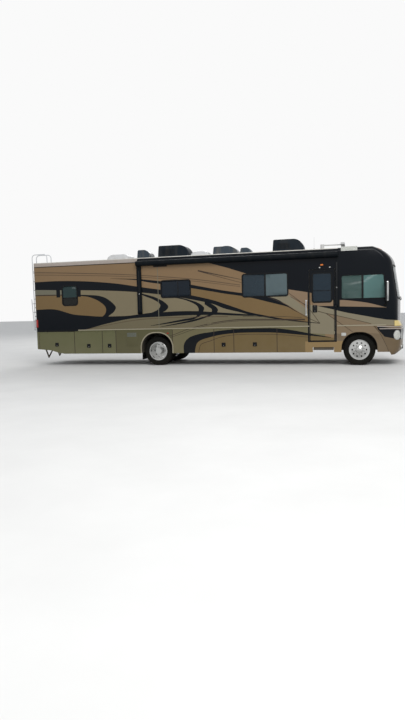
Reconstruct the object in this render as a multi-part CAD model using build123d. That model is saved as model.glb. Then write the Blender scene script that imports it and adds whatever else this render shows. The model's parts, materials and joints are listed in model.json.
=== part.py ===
from build123d import *
import math
import os

# A full-size motorhome with its engine in front, parked.
# Millimetres. +X is forward, +Y is the driver's side, +Z is up, and the wheels stand on z = 0.
# The origin is halfway between the bumper's nose and the folded ladder, on the ground.

# Driving sizes of the whole vehicle
WHEELBASE = 6400.0
MEASURED_WHEELBASE = 6400.0
NOSE_OVERHANG = 1340.0
REAR_OVERHANG = 4430.0
HALF_WIDTH = 1275.0
WALL_T = 50.0
SKIRT_T = 30.0
SKIRT_BOTTOM_Z = 408.0
BELT_Z = 1192.0
FLOOR_T = 92.0
ROOF_SEAM_Z = 3405.0
ROOF_EDGE_Z = 3530.0
ROOF_EDGE_IN = 110.0
ROOF_CROWN_Z = 3600.0
ROOF_T = 60.0
LADDER_REACH = 190.0
FACE_GAP = 0.3
DOOR_GAP = 6.0
PIN_FIT = 0.1

BODY_LENGTH = NOSE_OVERHANG + WHEELBASE + REAR_OVERHANG
HALF_LENGTH = (BODY_LENGTH + LADDER_REACH) / 2
FRONT_AXLE_X = HALF_LENGTH - NOSE_OVERHANG
REAR_AXLE_X = FRONT_AXLE_X - WHEELBASE
REAR_WALL_X = REAR_AXLE_X - REAR_OVERHANG
FLOOR_Z = BELT_Z - FLOOR_T
INNER_Y = HALF_WIDTH - WALL_T
SKIRT_IN_Y = HALF_WIDTH - SKIRT_T

# The front cap starts behind the cab's side windows, the rear cap just ahead of the rear wall
FRONT_CAP_BACK = 620.0
REAR_CAP_DEPTH = 140.0
FRONT_CAP_X = FRONT_AXLE_X - FRONT_CAP_BACK
REAR_CAP_X = REAR_WALL_X + REAR_CAP_DEPTH
REAR_CORNER_R = 130.0
REAR_TOP_R = 150.0
REAR_SKIRT_RISE = 160.0
SKIRT_RISE_LINE = (
    # x from the rear axle, share of the rise
    (-4430.0, 1.0),
    (-4308.0, 1.0),
    (-3847.0, 0.74),
    (-3595.0, 0.26),
    (-3350.0, 0.0),
)

# Plan shape of the nose: how far its sides fall back, and its rounded corners
NOSE_SAG = 125.0
CORNER_IN = 275.0
CORNER_BACK = 230.0

# Wheels
TYRE_R = 470.0
TYRE_W = 240.0
BEAD_R = 290.0
FLANGE_R = 306.0
RIM_T = 12.0
FRONT_WHEEL_Y = HALF_WIDTH - 225.0
KINGPIN_IN = 100.0
OUTER_DUAL_Y = HALF_WIDTH - 245.0
DUAL_SPACING = 330.0
SPINDLE_R = 45.0
HUB_R = 95.0
FRONT_ARCH_R = 520.0
FRONT_ARCH_TOP = 1008.0
REAR_ARCH_R = 530.0
REAR_ARCH_TOP = 1071.0

# Chassis
RAIL_OUT_Y = 432.0
RAIL_FLANGE = 75.0
RAIL_DEPTH = 250.0
RAIL_WEB_T = 10.0
RAIL_Z = 720.0
RAIL_FRONT = 1000.0
RAIL_REAR_IN = 60.0
SPRING_W = 76.0
SPRING_T = 55.0
AXLE_TUBE_R = 75.0
BEAM_W = 80.0
BEAM_T = 100.0

# Openings in the right wall: start and end along X from the rear axle, low and high edge, corner radius
SIDE_WINDOWS = (
    # x0, x1, z0, z1, corner
    (-3328.0, -2789.0, 2058.0, 2701.0, 90.0),
    (214.0, 1182.0, 2222.0, 2744.0, 60.0),
    (2889.0, 4282.0, 2161.0, 2842.0, 60.0),
)
LEFT_WINDOW = SIDE_WINDOWS[0]
GLASS_T = 10.0
FRAME_RING_W = 28.0
FRAME_RING_T = 9.0
FRAME_LAP = 12.0
GLASS_IN = 6.0

# Entry door, from the front axle
DOOR_X0 = -1463.0
DOOR_X1 = -708.0
DOOR_Z0 = 743.0
DOOR_Z1 = 2906.0
DOOR_T = 45.0
DOOR_WINDOW = (-1366.0, -805.0, 1935.0, 2796.0, 70.0)
DOOR_HINGES_Z = (1000.0, 1800.0, 2600.0)

# Hinge sizes
HINGE_OUT = 8.0
HINGE_PIN_R = 3.0
SLEEVE_R = 7.6
LUG_LEN = 18.0
SLEEVE_LEN = 90.0
HINGE_DROP = 20.0
HINGE_LEAF = 40.0
LUG_HALF_T = 3.0
DOOR_TOP_DROP = 38.0

# Storage doors: name, side (-1 right, 1 left), start and end along X from the rear axle
STORAGE_DOORS = (
    # name, side, x0, x1
    ("bay_door_right_1", -1, -4290.0, -2954.0),
    ("bay_door_right_2", -1, -2954.0, -1929.0),
    ("bay_door_right_3", -1, -1929.0, -1437.0),
    ("bay_door_right_4", -1, 1928.0, 2572.0),
    ("bay_door_right_5", -1, 2572.0, 3938.0),
    ("bay_door_left_1", 1, -4290.0, -2900.0),
    ("bay_door_left_2", 1, 1928.0, 3438.0),
)
BAY_PAN_T = 15.0
BAY_PAN_Z = 440.0
BAY_DEEP_Y = 450.0
REAR_BAY_PAN_Z = 590.0
BAY_HINGE_SHARE = 0.2

# Room that slides out on the driver's side, from the rear axle
SLIDE_X0 = 750.0
SLIDE_X1 = 4400.0
SLIDE_Z0 = 1290.0
SLIDE_Z1 = 3150.0
SLIDE_DEPTH = 900.0
SLIDE_WALL_T = 40.0
SLIDE_GAP = 8.0
SLIDE_FLANGE = 45.0
SLIDE_FLANGE_T = 18.0
SLIDE_RUNNER_W = 80.0
SLIDE_RUNNER_SHARE = 0.14
SLIDE_WINDOWS = (
    # x0, x1, z0, z1, corner
    (1150.0, 2050.0, 2161.0, 2842.0, 60.0),
    (3050.0, 4050.0, 2161.0, 2842.0, 60.0),
)


def front_x(offset):
    return FRONT_AXLE_X + offset


def rear_x(offset):
    return REAR_AXLE_X + offset


def span_x(offset):
    """A place measured from the rear axle. Ahead of it, it keeps its share of the wheelbase."""
    stretch = WHEELBASE / MEASURED_WHEELBASE if offset > 0 else 1.0
    return REAR_AXLE_X + offset * stretch


def block(x0, x1, y0, y1, z0, z1):
    size = Box(x1 - x0, y1 - y0, z1 - z0)
    return Pos((x0 + x1) / 2, (y0 + y1) / 2, (z0 + z1) / 2) * size


def rod_x(x0, x1, y, z, radius):
    return Pos((x0 + x1) / 2, y, z) * Rot(0, 90, 0) * Cylinder(radius, x1 - x0)


def rod_y(x, y0, y1, z, radius):
    return Pos(x, (y0 + y1) / 2, z) * Rot(90, 0, 0) * Cylinder(radius, y1 - y0)


def rod_z(x, y, z0, z1, radius):
    return Pos(x, y, (z0 + z1) / 2) * Cylinder(radius, z1 - z0)


def rod_between(a, b, radius):
    start = Vector(*a)
    run = Vector(*b) - start
    plane = Plane(origin=start, z_dir=run)
    return plane * Pos(0, 0, run.length / 2) * Cylinder(radius, run.length)


def side_face(outline):
    """A sketch drawn in x and z, stood up so that it can be pushed along Y."""
    return Plane((0, 0, 0), x_dir=(1, 0, 0), z_dir=(0, -1, 0)) * outline


def push_y(outline, y0, y1):
    """The solid of an x-z outline between two y values."""
    return Pos(0, y1, 0) * extrude(side_face(outline), y1 - y0)


def window_shape(x0, x1, z0, z1, corner, grow=0.0):
    width = x1 - x0 + 2 * grow
    height = z1 - z0 + 2 * grow
    shape = RectangleRounded(width, height, corner + grow)
    return Pos((x0 + x1) / 2, (z0 + z1) / 2) * shape


def left_of(right):
    """The same piece at the other side of the vehicle's middle plane."""
    solids = [mirror(solid, Plane.XZ) for solid in right.solids()]
    return solids[0] if len(solids) == 1 else Compound(solids)


def both_sides(right):
    return Compound(right.solids() + left_of(right).solids())


def body_section(inset, top_inset, bottom_z):
    """The body's cross-section in y and z: straight sides, rounded roof edges, a low crown."""
    half = HALF_WIDTH - inset
    edge_y = HALF_WIDTH - ROOF_EDGE_IN - inset * 0.5
    seam = ROOF_SEAM_Z
    edge_z = ROOF_EDGE_Z - top_inset
    crown = ROOF_CROWN_Z - top_inset
    bend = 0.7071
    mid_y = edge_y + (half - edge_y) * bend
    mid_z = seam + (edge_z - seam) * bend
    lines = [
        Line((-half, bottom_z), (half, bottom_z)),
        Line((half, bottom_z), (half, seam)),
        ThreePointArc((half, seam), (mid_y, mid_z), (edge_y, edge_z)),
        ThreePointArc((edge_y, edge_z), (0, crown), (-edge_y, edge_z)),
        ThreePointArc((-edge_y, edge_z), (-mid_y, mid_z), (-half, seam)),
        Line((-half, seam), (-half, bottom_z)),
    ]
    return make_face(lines)


def body_bar(inset, top_inset, bottom_z, x0, x1):
    face = Plane((x0, 0, 0), x_dir=(0, 1, 0), z_dir=(1, 0, 0)) * body_section(inset, top_inset, bottom_z)
    return extrude(face, x1 - x0)


def nose_outline(nose, inset, back):
    """Plan outline of the front at one height: a bowed front, round corners, straight sides."""
    half = HALF_WIDTH - inset
    corner_y = half - CORNER_IN
    front = front_x(nose) - inset
    shoulder_x = front - NOSE_SAG
    side_x = shoulder_x - CORNER_BACK
    bend = 0.7071
    mid_x = side_x + CORNER_BACK * bend
    mid_y = corner_y + CORNER_IN * bend
    lines = [
        ThreePointArc((shoulder_x, -corner_y), (front, 0), (shoulder_x, corner_y)),
        ThreePointArc((shoulder_x, corner_y), (mid_x, mid_y), (side_x, half)),
        Line((side_x, half), (back, half)),
        Line((back, half), (back, -half)),
        Line((back, -half), (side_x, -half)),
        ThreePointArc((side_x, -half), (mid_x, -mid_y), (shoulder_x, -corner_y)),
    ]
    return make_face(lines)


# Nose profile on the centre line: height and reach ahead of the front axle
CAP_FOOT_Z = 1142.0
CAP_STATIONS = (
    # z, reach
    (1142.0, 1325.0),
    (1341.0, 1240.0),
    (1940.0, 1240.0),
    (2950.0, 1085.0),
)
BUMPER_STATIONS = (
    # z, reach
    (320.0, 1150.0),
    (414.0, 1265.0),
    (549.0, 1312.0),
    (1008.0, 1340.0),
    (1142.0, 1325.0),
)
DOME_FOOT_Z = 2950.0
DOME_REACH = 1085.0
DOME_RISE = 670.0
DOME_HEIGHTS = (0.0, 170.0, 320.0, 450.0, 550.0, 620.0, 655.0)


def nose_loft(stations, inset, back):
    faces = [Pos(0, 0, z) * nose_outline(reach, inset, back) for z, reach in stations]
    return loft(faces, ruled=True)


def dome_loft(inset, back):
    faces = []
    for height in DOME_HEIGHTS:
        share = height / DOME_RISE
        reach = DOME_REACH * math.sqrt(1 - share * share)
        faces.append(Pos(0, 0, DOME_FOOT_Z + height) * nose_outline(reach, inset, back))
    return loft(faces)


def cap_form(inset, top_inset):
    back = FRONT_CAP_X - WALL_T
    whole = nose_loft(CAP_STATIONS, inset, back) + dome_loft(inset, back)
    reach = FRONT_AXLE_X + NOSE_OVERHANG + WALL_T
    return whole & body_bar(inset, top_inset, CAP_FOOT_Z - WALL_T, FRONT_CAP_X, reach)


# Windshield and cab side windows, from the front axle
SCREEN_Z0 = 1975.0
SCREEN_Z1 = 2960.0
SCREEN_HALF_Y = HALF_WIDTH - 155.0
SCREEN_BACK = 640.0
SCREEN_CORNER = 110.0
CAB_WINDOW_Z0 = 2015.0
CAB_WINDOW_Z1 = 2690.0
CAB_WINDOW_X0 = -506.0
CAB_WINDOW_TOP_X1 = 684.0
CAB_WINDOW_LOW_X1 = 742.0
CAB_WINDOW_CORNER = 50.0


def screen_cutter(gap):
    shape = RectangleRounded(2 * (SCREEN_HALF_Y - gap), SCREEN_Z1 - SCREEN_Z0 - 2 * gap, SCREEN_CORNER - gap)
    plane = Plane((front_x(SCREEN_BACK), 0, (SCREEN_Z0 + SCREEN_Z1) / 2), x_dir=(0, 1, 0), z_dir=(1, 0, 0))
    return extrude(plane * shape, NOSE_OVERHANG)


def cab_window_shape(gap):
    points = [
        (front_x(CAB_WINDOW_X0) + gap, CAB_WINDOW_Z0 + gap),
        (front_x(CAB_WINDOW_LOW_X1) - gap, CAB_WINDOW_Z0 + gap),
        (front_x(CAB_WINDOW_TOP_X1) - gap, CAB_WINDOW_Z1 - gap),
        (front_x(CAB_WINDOW_X0) + gap, CAB_WINDOW_Z1 - gap),
    ]
    face = make_face(Polyline(*points, close=True))
    return fillet(face.vertices(), CAB_WINDOW_CORNER - gap)


def cab_window_cutter(gap, y0, y1):
    return push_y(cab_window_shape(gap), y0, y1)


def front_cap():
    shell = cap_form(0, 0) - cap_form(WALL_T, ROOF_T)
    shell -= block(FRONT_CAP_X - 1, front_x(NOSE_OVERHANG), -INNER_Y, INNER_Y, CAP_FOOT_Z - 1, CAP_FOOT_Z + 1)
    shell -= screen_cutter(0)
    shell -= cab_window_cutter(0, -HALF_WIDTH - 1, -INNER_Y + 1)
    shell -= cab_window_cutter(0, INNER_Y - 1, HALF_WIDTH + 1)
    below_belt = block(FRONT_CAP_X - 1, front_x(FENDER_SPLIT_X), -HALF_WIDTH - 1, HALF_WIDTH + 1, 0, BELT_Z)
    return shell - below_belt


def windshield():
    skin = nose_loft(CAP_STATIONS, 0, FRONT_CAP_X)
    inner = nose_loft(CAP_STATIONS, GLASS_T, FRONT_CAP_X - GLASS_T)
    dome = dome_loft(0, FRONT_CAP_X)
    dome_in = dome_loft(GLASS_T, FRONT_CAP_X - GLASS_T)
    whole = (skin + dome) - (inner + dome_in)
    return whole & screen_cutter(FACE_GAP)


# Bumper and front fender meet on a slanting seam: x at the top and at the bottom, from the front axle
FENDER_SPLIT_X = 464.0
FENDER_SPLIT_LOW_X = 904.0
FENDER_SPLIT_LOW_Z = 344.0
BUMPER_T = 40.0
GRILLE_HALF_Y = 520.0
GRILLE_Z0 = 620.0
GRILLE_Z1 = 860.0
GRILLE_BARS = 4
GRILLE_OPEN_SHARE = 0.6
GRILLE_CUT_BACK = 900.0
BUMPER_BACK = 200.0
LAMP_CUT_BACK = 700.0
FENDER_LAP = 40.0
HEADLAMP_Y = HALF_WIDTH - 275.0
HEADLAMP_Z = 905.0
HEADLAMP_HALF_Y = 95.0
HEADLAMP_HALF_Z = 125.0


def fender_side(y0, y1):
    """Everything behind the slanting seam, as a solid that cuts the bumper or keeps the fender."""
    far = front_x(-NOSE_OVERHANG)
    points = [
        (far, 0),
        (front_x(FENDER_SPLIT_LOW_X) + FENDER_LAP, 0),
        (front_x(FENDER_SPLIT_LOW_X), FENDER_SPLIT_LOW_Z),
        (front_x(FENDER_SPLIT_X), CAP_FOOT_Z),
        (front_x(FENDER_SPLIT_X), BELT_Z + 1),
        (far, BELT_Z + 1),
    ]
    return push_y(make_face(Polyline(*points, close=True)), y0, y1)


def headlamp_cutter(gap):
    shape = Ellipse(HEADLAMP_HALF_Y - gap, HEADLAMP_HALF_Z - gap)
    plane = Plane((front_x(LAMP_CUT_BACK), -HEADLAMP_Y, HEADLAMP_Z), x_dir=(0, 1, 0), z_dir=(1, 0, 0))
    return extrude(plane * shape, NOSE_OVERHANG)


def front_bumper():
    back = front_x(BUMPER_BACK)
    outer = nose_loft(BUMPER_STATIONS, 0, back)
    inner = nose_loft(BUMPER_STATIONS, BUMPER_T, back - BUMPER_T)
    shell = outer - inner
    shell -= fender_side(-HALF_WIDTH - 1, HALF_WIDTH + 1)
    for side in (-1, 1):
        lamp = headlamp_cutter(0)
        shell -= lamp if side < 0 else left_of(lamp)
    pitch = (GRILLE_Z1 - GRILLE_Z0) / GRILLE_BARS
    for row in range(GRILLE_BARS):
        z0 = GRILLE_Z0 + row * pitch
        z1 = z0 + pitch * GRILLE_OPEN_SHARE
        shell -= block(front_x(GRILLE_CUT_BACK), front_x(NOSE_OVERHANG) + 1,
                       -GRILLE_HALF_Y, GRILLE_HALF_Y, z0, z1)
    return shell


def headlamps():
    outer = nose_loft(BUMPER_STATIONS, 0, front_x(BUMPER_BACK))
    inner = nose_loft(BUMPER_STATIONS, BUMPER_T, front_x(BUMPER_BACK) - BUMPER_T)
    lamp = (outer - inner) & headlamp_cutter(FACE_GAP)
    return both_sides(lamp)


# Walls
def window_cut(row, y0, y1, gap=0.0):
    x0, x1, z0, z1, corner = row
    return push_y(window_shape(span_x(x0), span_x(x1), z0, z1, corner, -gap), y0, y1)


def door_window_cut(y0, y1, gap=0.0):
    """The door's window keeps its place in the door, which is measured from the front axle."""
    x0, x1, z0, z1, corner = DOOR_WINDOW
    return push_y(window_shape(front_x(x0), front_x(x1), z0, z1, corner, -gap), y0, y1)


def door_block(grow, y0, y1):
    return block(front_x(DOOR_X0) - grow, front_x(DOOR_X1) + grow, y0, y1, DOOR_Z0 - grow, DOOR_Z1 + grow)


def hinge_lugs_z(x, y, z):
    """Two lugs and their pin for one upright hinge, standing on the wall ahead of the door."""
    half = SLEEVE_LEN / 2 + FACE_GAP
    parts = rod_z(x, y, z - half - LUG_LEN, z + half + LUG_LEN, HINGE_PIN_R)
    for low in (z - half - LUG_LEN, z + half):
        parts += rod_z(x, y, low, low + LUG_LEN, SLEEVE_R)
        parts += block(x, x + HINGE_LEAF, y - LUG_HALF_T, y + HINGE_OUT + 2, low, low + LUG_LEN)
    return parts


def wall_right():
    wall = block(REAR_CAP_X, FRONT_CAP_X, -HALF_WIDTH, -INNER_Y, BELT_Z, ROOF_SEAM_Z)
    for row in SIDE_WINDOWS:
        wall -= window_cut(row, -HALF_WIDTH - 1, -INNER_Y + 1)
    wall -= door_block(DOOR_GAP, -HALF_WIDTH - 1, -INNER_Y + 1)
    for z in DOOR_HINGES_Z:
        if z > BELT_Z:
            wall += hinge_lugs_z(front_x(DOOR_X1) + DOOR_GAP, -HALF_WIDTH - HINGE_OUT, z)
    return wall


def slide_block(grow, y0, y1):
    return block(span_x(SLIDE_X0) - grow, span_x(SLIDE_X1) + grow, y0, y1, SLIDE_Z0 - grow, SLIDE_Z1 + grow)


def wall_left():
    wall = block(REAR_CAP_X, FRONT_CAP_X, INNER_Y, HALF_WIDTH, BELT_Z, ROOF_SEAM_Z)
    wall -= window_cut(LEFT_WINDOW, INNER_Y - 1, HALF_WIDTH + 1)
    return wall - slide_block(SLIDE_GAP, INNER_Y - 1, HALF_WIDTH + 1)


def roof():
    outer = body_bar(0, 0, BELT_Z, REAR_CAP_X, FRONT_CAP_X)
    inner = body_bar(WALL_T, ROOF_T, BELT_Z - 1, REAR_CAP_X - 1, FRONT_CAP_X + 1)
    below = block(REAR_CAP_X - 1, FRONT_CAP_X + 1, -HALF_WIDTH - 1, HALF_WIDTH + 1, 0, ROOF_SEAM_Z)
    return outer - inner - below


def rear_box(inset, top_inset, depth):
    """The rear corner form, rounded at its upright edges and along its top."""
    bar = body_bar(inset, top_inset, SKIRT_BOTTOM_Z + REAR_SKIRT_RISE, REAR_WALL_X + inset, REAR_WALL_X + depth)
    plan = RectangleRounded(4 * REAR_CORNER_R, 2 * (HALF_WIDTH - inset), REAR_CORNER_R - inset)
    column = extrude(Pos(REAR_WALL_X + inset + 2 * REAR_CORNER_R, 0, 0) * plan, ROOF_CROWN_Z + 100)
    top = ROOF_CROWN_Z - top_inset
    side = RectangleRounded(4 * REAR_TOP_R, 2 * top, REAR_TOP_R - inset)
    slab = push_y(Pos(REAR_WALL_X + inset + 2 * REAR_TOP_R, 0) * side, -HALF_WIDTH - 1, HALF_WIDTH + 1)
    return bar & column & slab


def rear_cap():
    outer = rear_box(0, 0, REAR_CAP_DEPTH)
    inner = rear_box(WALL_T, ROOF_T, REAR_CAP_DEPTH + 10)
    return outer - inner


def floor():
    slab = block(REAR_WALL_X + WALL_T, FRONT_CAP_X, -SKIRT_IN_Y, SKIRT_IN_Y, FLOOR_Z, BELT_Z)
    slab -= block(REAR_WALL_X, REAR_CAP_X + 1, -HALF_WIDTH, -INNER_Y, FLOOR_Z - 1, BELT_Z + 1)
    slab -= block(REAR_WALL_X, REAR_CAP_X + 1, INNER_Y, HALF_WIDTH, FLOOR_Z - 1, BELT_Z + 1)
    cab = block(FRONT_CAP_X, front_x(CAB_FLOOR_X1), -INNER_Y, INNER_Y, FLOOR_Z, BELT_Z)
    slab += cab
    return slab - well_block(0) - rear_cap()


def slide_runners():
    """Two fixed runners on the coach floor, on which the room slides."""
    inset = (SLIDE_X1 - SLIDE_X0) * SLIDE_RUNNER_SHARE
    spots = (span_x(SLIDE_X0) + inset, span_x(SLIDE_X1) - inset)
    y0 = HALF_WIDTH - SLIDE_DEPTH
    y1 = INNER_Y - DOOR_GAP
    half = SLIDE_RUNNER_W / 2
    return Compound([block(x - half, x + half, y0, y1, BELT_Z, SLIDE_Z0 - FACE_GAP) for x in spots])


# Step well inside the entry door
WELL_DEEP = 560.0
WELL_PAN_T = 25.0
WELL_STEP_Z = 960.0
WELL_STEP_DEEP = 280.0
CAB_FLOOR_X1 = 800.0
OUTER_STEP_X0 = -1357.0
OUTER_STEP_X1 = -755.0
OUTER_STEP_Z0 = 474.0
OUTER_STEP_Z1 = 550.0
OUTER_STEP_IN = 10.0
OUTER_STEP_DEEP = 260.0
STEP_ROOM = 15.0
STEP_ROOM_UP = 12.0
STEP_ARM_T = 20.0
STEP_ARM_IN = 50.0
STEP_ARM_DEEP = 200.0


def well_block(grow):
    x0 = front_x(DOOR_X0) - DOOR_GAP - WELL_PAN_T - grow
    x1 = front_x(DOOR_X1) + DOOR_GAP + WELL_PAN_T + grow
    return block(x0, x1, -SKIRT_IN_Y, -SKIRT_IN_Y + WELL_DEEP + grow, DOOR_Z0 - WELL_PAN_T, BELT_Z)


def entry_steps():
    """The step well with one inner step, and the step that hangs below the door."""
    shell = well_block(0)
    x0 = front_x(DOOR_X0) - DOOR_GAP
    x1 = front_x(DOOR_X1) + DOOR_GAP
    back = -SKIRT_IN_Y + WELL_DEEP - WELL_PAN_T
    inner = back - WELL_STEP_DEEP
    shell -= block(x0, x1, -SKIRT_IN_Y - 1, inner, DOOR_Z0, BELT_Z + 1)
    shell -= block(x0, x1, inner - 1, back, WELL_STEP_Z, BELT_Z + 1)
    shell -= block(x0, x1, inner + WELL_PAN_T, back + WELL_PAN_T + 1, 0, WELL_STEP_Z - WELL_PAN_T)
    arm_y = -HALF_WIDTH + STEP_ARM_IN
    for x in (OUTER_STEP_X0 + STEP_ARM_IN, OUTER_STEP_X1 - STEP_ARM_IN):
        shell += block(front_x(x) - STEP_ARM_T / 2, front_x(x) + STEP_ARM_T / 2, arm_y, arm_y + STEP_ARM_DEEP,
                       OUTER_STEP_Z0, DOOR_Z0 - WELL_PAN_T)
    step_y = -HALF_WIDTH + OUTER_STEP_IN
    shell += block(front_x(OUTER_STEP_X0), front_x(OUTER_STEP_X1), step_y, step_y + OUTER_STEP_DEEP,
                   OUTER_STEP_Z0, OUTER_STEP_Z1)
    return shell


# Skirts below the belt
def arch_cut(axle_at, radius, top, y0, y1):
    width = 2 * radius
    height = 2 * top
    shape = Pos(axle_at, 0) * RectangleRounded(width, height, radius * 0.9)
    return push_y(shape, y0, y1)


def below_rise(y0, y1):
    """What lies under the skirt's rising rear edge, as a solid that cuts the rear panels."""
    points = [(rear_x(x), SKIRT_BOTTOM_Z + share * REAR_SKIRT_RISE) for x, share in SKIRT_RISE_LINE]
    first = points[0][0]
    last = points[-1][0]
    points += [(last, 0), (first, 0)]
    return push_y(make_face(Polyline(*points, close=True)), y0, y1)


def storage_rows(side):
    return [row for row in STORAGE_DOORS if row[1] == side]


def bay_span(row):
    name, side, x0, x1 = row
    return span_x(x0), span_x(x1)


DOOR_TOP_Z = BELT_Z - DOOR_TOP_DROP
HINGE_Z = BELT_Z - HINGE_DROP


def bay_hinge_spots(row):
    """Where a storage door's two hinges sit along X."""
    x0, x1 = bay_span(row)
    inset = (x1 - x0) * BAY_HINGE_SHARE
    return (x0 + inset, x1 - inset)


def bay_hinge_lugs(x):
    half = SLEEVE_LEN / 2 + FACE_GAP
    y = -HALF_WIDTH - HINGE_OUT
    parts = rod_x(x - half - LUG_LEN, x + half + LUG_LEN, y, HINGE_Z, HINGE_PIN_R)
    for low in (x - half - LUG_LEN, x + half):
        parts += rod_x(low, low + LUG_LEN, y, HINGE_Z, SLEEVE_R)
        parts += block(low, low + LUG_LEN, y, -HALF_WIDTH + 1, HINGE_Z - SLEEVE_R, HINGE_Z + SLEEVE_R)
    return parts


def skirt(side, with_door):
    """One side's lower panels as a right-hand piece: the header strip, the fixed panels, the fender."""
    y0 = -HALF_WIDTH
    y1 = -SKIRT_IN_Y
    panel = block(REAR_CAP_X, front_x(FENDER_SPLIT_LOW_X) + FENDER_LAP, y0, y1, SKIRT_BOTTOM_Z, BELT_Z)
    panel -= block(front_x(FENDER_SPLIT_X), front_x(NOSE_OVERHANG), y0 - 1, y1 + 1, CAP_FOOT_Z, BELT_Z + 1)
    seam = fender_side(y0 - 1, y1 + 1)
    seam += block(REAR_WALL_X, front_x(-NOSE_OVERHANG) + 1, y0 - 1, y1 + 1, 0, BELT_Z + 1)
    panel = panel & seam
    panel -= arch_cut(FRONT_AXLE_X, FRONT_ARCH_R, FRONT_ARCH_TOP, y0 - 1, y1 + 1)
    panel -= arch_cut(REAR_AXLE_X, REAR_ARCH_R, REAR_ARCH_TOP, y0 - 1, y1 + 1)
    for row in storage_rows(side):
        x0, x1 = bay_span(row)
        panel -= block(x0, x1, y0 - 1, y1 + 1, 0, DOOR_TOP_Z + DOOR_GAP)
    if with_door:
        panel -= door_block(DOOR_GAP, y0 - 1, y1 + 1)
        panel -= block(front_x(OUTER_STEP_X0) - STEP_ROOM, front_x(OUTER_STEP_X1) + STEP_ROOM, y0 - 1, y1 + 1,
                       0, OUTER_STEP_Z1 + STEP_ROOM_UP)
        for z in [height for height in DOOR_HINGES_Z if height <= BELT_Z]:
            panel += hinge_lugs_z(front_x(DOOR_X1) + DOOR_GAP, y0 - HINGE_OUT, z)
    for row in storage_rows(side):
        for x in bay_hinge_spots(row):
            panel += bay_hinge_lugs(x)
    return panel


def skirt_right():
    return skirt(-1, True)


def skirt_left():
    return left_of(skirt(1, False))


def bay_door(row):
    """One storage door as a right-hand piece, with the sleeves and leaves of its two hinges."""
    x0, x1 = bay_span(row)
    half_gap = DOOR_GAP / 2
    door = block(x0 + half_gap, x1 - half_gap, -HALF_WIDTH, -SKIRT_IN_Y, SKIRT_BOTTOM_Z, DOOR_TOP_Z)
    if is_rear_bay(x0):
        door -= below_rise(-HALF_WIDTH - 1, -SKIRT_IN_Y + 1)
    y = -HALF_WIDTH - HINGE_OUT
    for x in bay_hinge_spots(row):
        low = x - SLEEVE_LEN / 2
        high = x + SLEEVE_LEN / 2
        hinge = rod_x(low, high, y, HINGE_Z, SLEEVE_R)
        hinge += block(low, high, y - 1, -HALF_WIDTH - FACE_GAP, DOOR_TOP_Z - HINGE_LEAF / 2, HINGE_Z)
        hinge += block(low, high, y - 1, -HALF_WIDTH + 2, DOOR_TOP_Z - HINGE_LEAF, DOOR_TOP_Z - 2)
        hinge -= rod_x(low - 1, high + 1, y, HINGE_Z, HINGE_PIN_R + PIN_FIT)
        door += hinge
    return door


def is_rear_bay(x0):
    """Whether a storage bay starts behind the foot of the skirt's rise."""
    return x0 < rear_x(SKIRT_RISE_LINE[-1][0])


def bay_rows(side):
    """Storage doors that follow each other without a break, as rows of one storage bay."""
    rows = storage_rows(side)
    groups = []
    for row in rows:
        x0, x1 = bay_span(row)
        if groups and abs(groups[-1][-1][1] - x0) < 1:
            groups[-1].append((x0, x1))
        else:
            groups.append([(x0, x1)])
    return groups


def storage_bays(side):
    """Pans, backs and partitions behind the storage doors, open to the side, as a right-hand piece."""
    front = -SKIRT_IN_Y + DOOR_GAP
    back = -BAY_DEEP_Y
    solids = []
    for group in bay_rows(side):
        x0 = group[0][0]
        x1 = group[-1][1]
        shell = block(x0, x1, front, back, BAY_PAN_Z, FLOOR_Z)
        for a, b in group:
            pan_z = REAR_BAY_PAN_Z if is_rear_bay(a) else BAY_PAN_Z
            shell -= block(a - 1, b - BAY_PAN_T, front - 1, back + 1, 0, pan_z)
            shell -= block(a + BAY_PAN_T, b - BAY_PAN_T, front - 1, back - BAY_PAN_T,
                           pan_z + BAY_PAN_T, FLOOR_Z + 1)
        solids.append(shell)
    return Compound(solids)


def bays_right():
    return storage_bays(-1)


def bays_left():
    return left_of(storage_bays(1))


# Chassis
CROSS_T = 60.0
POST_HALF_X = 40.0
POST_HALF_Y = 30.0
RAIL_MID_Y = RAIL_OUT_Y - RAIL_FLANGE / 2
FRONT_SPRING_HALF = 700.0
REAR_SPRING_HALF = 760.0
HANGER_T = 60.0
HANGER_DROP = 60.0
LEAF_END_SHARE = 0.4
REAR_CROSS_IN = 160.0
CROSS_MEMBERS = (-3300.0, -2300.0, -1050.0, 1050.0, 2200.0, 3400.0, 4500.0)
FRONT_CROSS_X = 900.0


def rail(x0, x1):
    outer = block(x0, x1, -RAIL_OUT_Y, -RAIL_OUT_Y + RAIL_FLANGE, RAIL_Z, RAIL_Z + RAIL_DEPTH)
    hollow = block(x0 - 1, x1 + 1, -RAIL_OUT_Y + RAIL_WEB_T, -RAIL_OUT_Y + RAIL_FLANGE + 1,
                   RAIL_Z + RAIL_WEB_T, RAIL_Z + RAIL_DEPTH - RAIL_WEB_T)
    return outer - hollow


def cross_spots():
    """Where the cross-members sit along X, spread between the rails' ends and clear of the engine."""
    return [REAR_WALL_X + REAR_CROSS_IN] + [span_x(x) for x in CROSS_MEMBERS] + [front_x(FRONT_CROSS_X)]


def body_posts():
    """Outriggers from the rails up to the floor, where the house rests on the chassis."""
    posts = []
    for x in cross_spots():
        for side in (-1, 1):
            y = side * RAIL_MID_Y
            posts.append(block(x - POST_HALF_X, x + POST_HALF_X, y - POST_HALF_Y, y + POST_HALF_Y,
                               RAIL_Z + RAIL_DEPTH - 1, FLOOR_Z))
    return posts


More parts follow.
